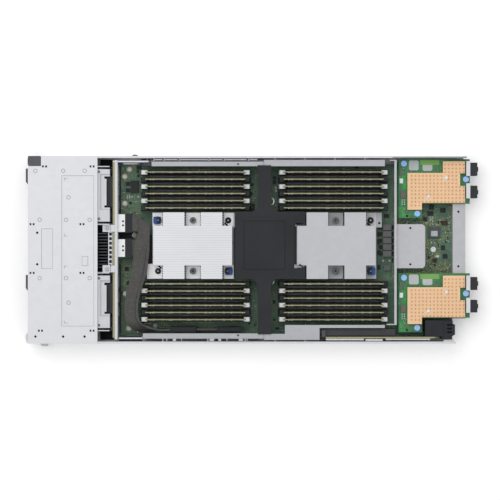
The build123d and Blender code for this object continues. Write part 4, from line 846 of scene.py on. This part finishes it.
def card_parts(small, rng):
    """Small parts of the cards: some in their places, the rest by a seeded draw."""
    pads = bmesh.new()
    packages = ((198.2, 200.5, 99.6, 110.0), (199.2, 206.2, 69.8, 78.5), (205.8, 210.4, 48.6, 53.3),
                (198.3, 200.3, 81.8, 85.4), (211.7, 214.7, 43.8, 45.8))
    for shift in CARD_SHIFTS:
        for x0, x1, y0, y1 in packages:
            part(small["grey"], x0, x1, y0 + shift, y1 + shift, 1.5, 0.15, CARD_TOP)
        part(small["dark"], 206.5, 209.4, 44.2 + shift, 46.8 + shift, 1.2, 0.1, CARD_TOP)
        for i in range(3):
            y = 105.0 + i * 1.6 + shift
            part(small["grey"], 203.9, 205.5, y, y + 0.9, 0.8, base=CARD_TOP)
            for j in range(2):
                x, y = 200.6 + j * 3.1, 60.2 + i * 2.9 + shift
                part(pads, x, x + 1.6, y, y + 1.6, 0.3, base=CARD_TOP)
        lathe(small["tan"], (200.7, 51.4 + shift, CARD_TOP), ((0.9, 0), (0.9, 0.4)), 12)
        for _ in range(46):
            x, y = rng.uniform(197.5, 206.0), rng.uniform(44, 112)
            if 59 < y < 68 or 68 < y < 80 or 87 < y < 97 or y > 97 and x < 202:
                continue
            w, d = rng.choice(((1.2, 0.6), (0.6, 1.2), (1.0, 0.5)))
            target = rng.choice((small["grey"], pads, small["tan"]))
            part(target, x, x + w, y + shift, y + d + shift, rng.uniform(0.3, 0.6), base=CARD_TOP)
        for _ in range(26):
            x, y = rng.uniform(243, 254), rng.uniform(104.0, 113.0) + shift
            part(rng.choice((small["grey"], small["tan"])), x, x + 1.0, y, y + 0.6, 0.5, base=CARD_TOP)
    piece("mezz_pads", PALE, pads)


def scattered_parts(small, rng):
    """Tiny parts over the open areas and beside the memory rows, by a seeded draw."""
    dark, tan, pale, gold = (small[tone] for tone in ("dark", "tan", "pale", "gold"))
    for k in range(3000):
        x, y = rng.uniform(-177, 268), rng.uniform(-113, 113)
        rear = k > 1900
        if rear:
            x, y = rng.uniform(196, 268), rng.uniform(-60, 64)
        if any(x0 - 3 < x < x1 + 1 and y0 - 2 < y < y1 + 1 for x0, x1, y0, y1 in COVERED + TAKEN):
            continue
        w, d = rng.choice(((1.6, 0.8), (0.8, 1.6), (1.0, 0.5), (2.0, 1.0), (1.2, 1.2), (0.6, 1.2)))
        if not rear and x < 190 and rng.random() < 0.05:
            w, d = rng.choice(((5.0, 4.0), (4.0, 4.0), (6.5, 5.0)))
            part(dark, x, x + w, y, y + d, 1.2, 0.1)
            continue
        target = rng.choice((dark, tan, gold, gold, pale) if rear else (dark, tan, gold, pale))
        part(target, x, x + w, y, y + d, rng.uniform(0.5, 1.1))
    for _ in range(70):
        x = rng.choice((rng.uniform(0.2, 5.4), rng.uniform(28, 32.5)))
        y = rng.choice((-1, 1)) * rng.uniform(52, 106)
        if x < 6 and (50 < y < 64 or 84 < y < 92):
            continue
        part(rng.choice((pale, tan, tan, dark)), x, x + 1.3, y, y + 0.8, 0.7)


def dark_parts(shape):
    """Black packages in the photograph's places."""
    tall = (
        (-170.6, -165.0, 86.6, 91.8), (-170.6, -165.0, 77.8, 83.0), (-172.0, -167.0, -28.4, -23.2),
        (-2.2, 3.7, 58.1, 62.4), (-2.2, 3.7, 52.7, 57.0), (-1.2, 2.0, 86.4, 90.2), (-1.6, 0.6, 74.4, 77.8),
        (2.5, 4.6, -103.5, -100.0), (-4.6, -2.0, -101.0, -98.6), (28.2, 31.8, -72.9, -68.0),
        (28.7, 31.4, -96.1, -93.4), (31.4, 36.6, -107.8, -104.8), (28.2, 32.8, 95.1, 99.4),
        (28.2, 32.8, 88.8, 94.0), (169.7, 173.7, 17.8, 24.0), (169.7, 173.7, 7.9, 14.4),
        (169.7, 173.7, -6.7, -0.4), (169.7, 173.7, -26.7, -20.4), (231.8, 236.3, 38.7, 44.0),
        (237.8, 240.4, -12.0, -9.0), (239.4, 245.8, 54.4, 61.2), (245.9, 248.2, -22.0, -19.6),
        (251.3, 252.8, 4.8, 8.0), (251.3, 253.1, 36.4, 38.6), (254.6, 259.9, 50.1, 56.4),
        (255.1, 256.7, 36.2, 38.6), (257.4, 261.0, -0.2, 5.2), (258.5, 264.2, -11.6, -6.4),
        (261.1, 262.6, 9.7, 12.3), (263.8, 265.2, 14.4, 17.0),
    )
    for place in tall:
        part(shape, *place, 1.6, 0.1)
    for i in range(6):
        part(shape, 189.2, 191.6, 27.4 - i * 8.9, 33.0 - i * 8.9, 1.4, 0.1)
    for place in ((-156.0, -154.9, 103.9, 107.7), (-154.3, -153.2, 103.9, 107.7),
                  (-155.4, -152.0, 98.4, 101.9), (-166.2, -162.9, 61.8, 65.1)):
        part(shape, *place, 1.2)


def grey_parts(shape):
    """Grey packages beside the memory rows and at the rear, and one round can."""
    for place in ((26.1, 33.4, -59.3, -53.5), (26.1, 31.4, -82.0, -76.8), (26.1, 28.6, 77.9, 83.1),
                  (255.7, 262.1, -29.3, -27.9)):
        part(shape, *place, 2.0, 0.15)
    lathe(shape, (246.5, -14.4, BOARD_TOP), ((2.9, 0), (2.9, 1.6), (2.4, 2.0)), 20)


def pale_parts(shape):
    """Tinned parts in the photograph's places, with a grid of six at the rear."""
    part(shape, 248.2, 252.9, -10.5, -7.4, 1.2, 0.2)
    for place in ((31.2, 33.2, 78.6, 81.0), (31.2, 33.2, 82.4, 85.0), (176.1, 178.3, -16.0, -13.6),
                  (184.9, 187.1, -16.0, -13.6)):
        part(shape, *place, 1.0)
    for place in ((-169.2, -168.0, 69.2, 73.6), (-166.3, -165.0, 69.2, 73.6), (-163.2, -161.4, 70.6, 72.8),
                  (-154.8, -153.0, 70.6, 72.8), (-158.2, -156.4, -108.6, -106.8),
                  (-155.6, -154.2, -112.2, -109.8)):
        part(shape, *place, 0.9)
    for i in range(3):
        for j in range(2):
            x, y = 240.0 + j * 3.4, 39.4 + i * 2.2
            part(shape, x, x + 2.0, y, y + 1.0, 0.3)


def gold_parts(shape):
    """Gold strips: dashes by the heatsinks, frames about two chips, an arc and contacts."""
    part(shape, 208.3, 231.6, -31.5, -30.5, 0.3)
    part(shape, 253.6, 255.7, 12.9, 15.0, 0.4)
    for x in (-47.5, 145.6):
        for k in range(6):
            part(shape, x + k * 3.1, x + k * 3.1 + 2.2, 51.0, 51.8, 0.3)
    for x, y in ((-168.9, -26.2), (-167.6, -45.2)):
        part(shape, x - 4.9, x - 4.2, y - 4.6, y + 4.6, 0.2)
        for edge in (y - 4.6, y + 4.0):
            part(shape, x - 4.2, x + 3.6, edge, edge + 0.6, 0.2)
    arc(shape, (-154.5, 46.0, BOARD_TOP), 2.6, 3.6, 0.1 * math.pi, 0.9 * math.pi, 0.3)


# Small parts of the cards and of the board, one piece for each tone
looks = {"gold": GOLD, "grey": GREY_CHIP, "pale": PALE, "dark": CHIP, "tan": TAN}
small = {tone: bmesh.new() for tone in looks}
rng = random.Random(7)
card_parts(small, rng)
scattered_parts(small, rng)
dark_parts(small["dark"])
grey_parts(small["grey"])
pale_parts(small["pale"])
gold_parts(small["gold"])
for y in (-14.8, 41.2, -35.7):
    part(small["tan"], 190.0, 192.4, y - 1.6, y + 1.6, 1.2)
for tone, look in looks.items():
    piece(f"small_parts_{tone}", look, small[tone])

# Short bright traces at the front, the rear and below the ribbon, by the same draw
shape = bmesh.new()
z = BOARD_TOP - 0.02
for k in range(620):
    if k < 300:
        x, y = rng.uniform(-178, -151), rng.uniform(-112, 113)
    elif k < 540:
        x, y = rng.uniform(229, 267), rng.uniform(-30, 62)
    else:
        x, y = rng.uniform(-147, -60), rng.uniform(-111, -99)
    if any(x0 - 1 < x < x1 + 1 and y0 - 1 < y < y1 + 1 for x0, x1, y0, y1 in TAKEN):
        continue
    turn, run = rng.choice((0.0, 0.25, 0.5, 0.75)) * math.pi, rng.uniform(1.5, 5.0)
    rod(shape, (x, y, z), (x + run * math.cos(turn), y + run * math.sin(turn), z), 0.24, 4)
piece("board_traces", TRACE, shape)

# Larger details of the board, and the shade in the shelf plate's holes
cans, shade = shapes(2)
lathe(cans, (-130.9, -102.4, BOARD_TOP), ((3.4, 0), (3.4, 2.2), (2.6, 3.6), (0.8, 4.0)))
part(cans, -148.6, -136.6, -110.4, -108.6, 2.0, 0.2)
part(cans, -145.0, -136.6, -100.4, -98.6, 1.4, 0.2)
piece("board_cans", PALE, cans)
boxes("carrier_edge", BLACK_SOFT, (-140.6, -133.9, -18.8, 20.6, BOARD_TOP, 12.8, 0.3))
boxes("brown_chip", COPPER_BROWN, (258.7, 264.2, 34.0, 38.5, BOARD_TOP, 6.8, 0.1))
boxes("controller_frame", GREY_DARK, (238.8, 254.4, 16.2, 30.4, BOARD_TOP, 7.82, 0.15))
boxes("controller_label", LABEL_WHITE, (241.9, 250.8, 18.3, 25.5, 7.8, 7.95))
boxes("board_dot", LABEL_GREEN, (78.6, 85.2, -100.2, -97.4, BOARD_TOP, 5.9))
# Upright black slabs in the gap before the board's front edge, as painted shade, and a low black strip on the
# board
boxes("board_front_shade_and_strip", BLACK_SOFT,
      (-179.6, -177.4, 48.0, 113.0, BOARD_TOP, 9.0), (-179.6, -177.4, -113.0, -20.0, BOARD_TOP, 9.0),
      (-179.0, -160.6, 14.4, 23.6, 5.45, 6.0))
for y in (29.1, -19.5):
    lathe(shade, (211.1, y, 31.6), ((2.4, 0), (2.4, 0.3)))
piece("shelf_hole_shade", BLACK_SHADE_AND_WIRE, shade)


# Ribbon: the same run as the part's, with the turn on edge drawn as a smooth curve

def flat_ring(left, right, low=32.0, high=34.6):
    return [Vector((*left, low)), Vector((*right, low)), Vector((*right, high)), Vector((*left, high))]


def turned_ring(spot, heading, tilt, level, half_width=9.0, half_thick=1.3):
    flow = Vector((*heading, 0)).normalized()
    across = Matrix.Rotation(math.radians(tilt), 3, flow) @ Vector((-flow.y, flow.x, 0))
    across, normal = across * half_width, flow.cross(across) * half_thick
    middle = Vector((*spot, level))
    return [middle + across * i + normal * j for i, j in ((-1, -1), (1, -1), (1, 1), (-1, 1))]


def smooth_point(before, start, end, after, t):
    """A point on the smooth curve from start to end."""
    bend = before * 2 - start * 5 + end * 4 - after
    twist = start * 3 - before - end * 3 + after
    return start + (end - before) * (t / 2) + bend * (t * t / 2) + twist * (t ** 3 / 2)


def ribbon_rings(shape, steps=8):
    """Rings of four points along the ribbon, from the headers to the first end plug."""
    stations = [flat_ring(left, right) for left, right in (
        ((-150.6, 42.6), (-136.8, 34.1)), ((-151.6, 26.0), (-137.0, 18.0)), ((-157.4, 8.0), (-137.3, -0.3)),
        ((-159.2, -13.7), (-139.0, -15.0)), ((-162.6, -36.0), (-142.0, -34.5)),
        ((-168.4, -58.0), (-149.6, -58.0)), ((-170.6, -78.0), (-152.6, -78.0)))]
    stations += [turned_ring(*station) for station in (
        ((-158.4, -97.0), (0.5, -1), 12, 32.0), ((-144.6, -106.2), (1, -0.25), 60, 25.6),
        ((-126.0, -107.0), (1, 0), 90, 22.6), ((-109.6, -107.0), (1, 0), 90, 22.6))]
    last = len(stations) - 1
    rings = []
    for n in range(last):
        around = [stations[min(max(n + k, 0), last)] for k in (-1, 0, 1, 2)]
        for i in range(steps + 1 if n == last - 1 else steps):
            rings.append([shape.verts.new(smooth_point(*corner, i / steps)) for corner in zip(*around)])
    return rings


# The ribbon in place of the CAD node, and the seam of its second layer
shape, seam = shapes(2)
rings = ribbon_rings(shape)
skin(shape, rings)
for y in HEADERS:
    slab(shape, -160.6, -149.1, y - 11.15, y + 11.15, 30.6, 32.0, 0.3)
slab(shape, -74.8, -46.6, -108.4, -105.2, 13.0, 29.0, 0.6)
lift = Vector((0, 0, 0.06))
seam_rings = []
for ring in rings[16:64]:
    near, far = (ring[3].co.lerp(ring[2].co, share) for share in (0.77, 0.81))
    seam_rings.append([seam.verts.new(spot) for spot in (near, far, far + lift, near + lift)])
skin(seam, seam_rings)
ribbon = piece("ribbon_smooth", RIBBON, shape)
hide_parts("ribbon_cable")
piece("ribbon_seam", BLACK_SOFT, seam)

# Painted shade in the contact wells of the ribbon headers
shape = bmesh.new()
for y in HEADERS:
    for step in (-2.7, 2.7):
        lathe(shape, (-172.6, y - 0.3 + step, 33.9), ((1.35, 0), (1.35, 0.2)), 16)
piece("header_well_shade", BLACK_SHADE_AND_WIRE, shape)

# Rails on the wall beside the riser
boxes("wall_rails", ZINC,
      (178.5, 238.0, -120.6, -118.7, 35.2, 36.2, 0.2), (98.6, 149.4, -121.0, -118.7, 35.2, 36.2, 0.2),
      (151.6, 174.4, -122.0, -119.2, 35.2, 36.2, 0.2), (256.0, 270.5, -124.6, -120.6, 33.0, 34.2, 0.3))

# Panels and bits along the walls, dark slabs painted as the shade in the gaps about the brackets, and bridges
# of the brackets
panels = bmesh.new()
for x0, x1 in ((-131.2, -119.8), (-117.0, -99.6), (-96.8, -59.2), (-56.8, -39.5), (-36.5, -7.2),
               (-3.8, 7.0)):
    slab(panels, x0, x1, 119.9, 121.5, 34.2, 36.2, 0.15)
for x, wide in ((-103.8, 4.6), (-53.8, 6.0), (-43.2, 3.6), (-15.0, 5.6), (-113.9, 1.2), (-94.2, 1.2),
                (-33.6, 1.2), (-6.5, 1.2)):
    slab(panels, x - wide / 2, x + wide / 2, -121.9, -118.4, 35.0, 36.6, 0.2)
slab(panels, -186.0, -138.4, 117.0, 118.9, 36.0, 37.2, 0.15)
slab(panels, -178.0, -146.4, -119.2, -117.3, 36.0, 37.2, 0.15)
piece("wall_panels", ZINC, panels)
boxes("bracket_gap_shade", BLACK_SOFT,
      (-134.0, 15.2, 117.7, 118.6, 38.18, 38.26), (-133.6, 7.0, 119.1, 122.4, 33.0, 34.3),
      (-148.0, -141.2, 119.6, 121.8, 33.0, 35.0, 0.2), (-139.4, -135.2, 119.6, 121.6, 33.0, 35.0, 0.2),
      (-178.0, -146.4, -122.6, -119.4, 33.0, 34.5), (-178.0, -148.0, -117.1, -115.0, 33.0, 34.5))
boxes("bracket_bridges", ZINC_SHADED_LOW,
      (7.3, 15.4, 112.9, 118.9, 37.0, 38.2), (7.3, 15.4, -118.6, -112.9, 37.0, 38.2))

# Painted shade: dark strips on the walls' inner faces for the shaded gaps behind the brackets, broken where
# the lugs stand, and a shaded upper edge
shape = bmesh.new()
inner, outer = 123.7, 123.88
left = (4.0, 14.5, 40.6, 54.9, 66.6, 96.4, 116.6, 133.1, 153.9, 187.0)
right = (-186, -165.5, -148, -122, -112, -98, -60, -30, -10, 4.0, 14.6, 40.0, 58.6, 97.4, 122.4, 151.6)
for breaks, y0, y1 in ((left, inner, outer), (right, -outer, -inner)):
    for x0, x1 in zip(breaks, breaks[1:]):
        slab(shape, x0 + 1.0, x1 - 1.0, y0, y1, 1.3, 24.0)
slab(shape, 203.0, 230.6, -outer, -inner, 8.0, 30.0)
piece("wall_gap_shade", BLACK_SHADE_AND_WIRE, shape)
boxes("wall_shade", ZINC_SHADE_AND_DARK, (187.6, 286.2, 122.2, 123.9, 40.9, 41.0))

# Catch of the riser holder, and the block, catches and bar at the front corner
boxes("riser_catch", BLACK_SOFT,
      (89.7, 92.4, -112.0, -105.8, 31.0, 36.0, 0.3), (89.9, 92.4, -117.6, -114.4, 31.0, 36.0, 0.3),
      (90.8, 96.0, -121.4, -119.2, 31.0, 35.0, 0.3))
boxes("riser_catch_block", GREY_DARK, (93.0, 98.2, -116.8, -107.2, 31.0, 34.5, 0.3))
boxes("corner_block", CHARCOAL,
      (-145.6, -140.7, 112.2, 116.4, 26, 36, 0.3), (-140.7, -134.4, 112.0, 116.6, 24, 36.6, 0.3))
boxes("corner_catches", NAVY,
      (-179.7, -173.2, 114.6, 117.4, 24, 30, 0.4), (-150.9, -146.0, 113.0, 116.3, 24, 30, 0.4))
boxes("corner_bar", ZINC_SHADED_MID, (-173.0, -153.6, 114.4, 116.6, 25, 28.5, 0.4))

# Stage, in metres: white floor
bpy.ops.mesh.primitive_plane_add(size=30.0, location=(0, 0, -0.0005))
floor = bpy.context.object
floor.name = "floor"
look, place = material("floor_paper", 0.9)
shader = look.node_tree.nodes["Principled BSDF"].inputs
feed(between(noise(place, 60.0, 3), 0.955, 0.975), shader["Base Color"])
shader["Emission Color"].default_value = (1, 1, 1, 1)
shader["Emission Strength"].default_value = 0.16
floor.data.materials.append(look)

# Soft light from all sides, which the camera and reflections see as plain white
world = bpy.data.worlds.new("studio")
scene.world = world
world.use_nodes = True
tree = world.node_tree
tree.nodes.clear()
out = node(tree, "OutputWorld")
pick = node(tree, "MixShader")
for strength, socket in ((0.72, pick.inputs[1]), (1.0, pick.inputs[2])):
    white = node(tree, "Background", Color=(1, 1, 1, 1), Strength=strength)
    feed(white.outputs[0], socket)
path = node(tree, "LightPath").outputs
direct = calc("MAXIMUM", path["Is Camera Ray"], path["Is Glossy Ray"])
direct = calc("MAXIMUM", direct, path["Is Transmission Ray"])
feed(direct, pick.inputs["Fac"])
feed(pick.outputs[0], out.inputs["Surface"])

# A large square lamp, aimed at the middle of the sled
light = bpy.data.lights.new("key", "AREA")
light.shape = "SQUARE"
light.size = 2.4
light.energy = 27.0
lamp = bpy.data.objects.new("key", light)
scene.collection.objects.link(lamp)
lamp.location = (-0.7, 1.1, 2.3)
lamp.rotation_euler = (-lamp.location).to_track_quat("-Z", "Y").to_euler()

# Camera straight above the sled, as in the photograph, with a span in view at the height of the cover
span, reach, sensor = 0.667, 2.4, 36.0
lens = bpy.data.cameras.new("camera")
eye = bpy.data.objects.new("camera", lens)
scene.collection.objects.link(eye)
eye.location = (-0.0028, -0.0003, 0.040 + reach)
eye.rotation_euler = (0, 0, 0)
lens.sensor_width = sensor
lens.lens = sensor * reach / span
lens.clip_end = 100.0
scene.camera = eye
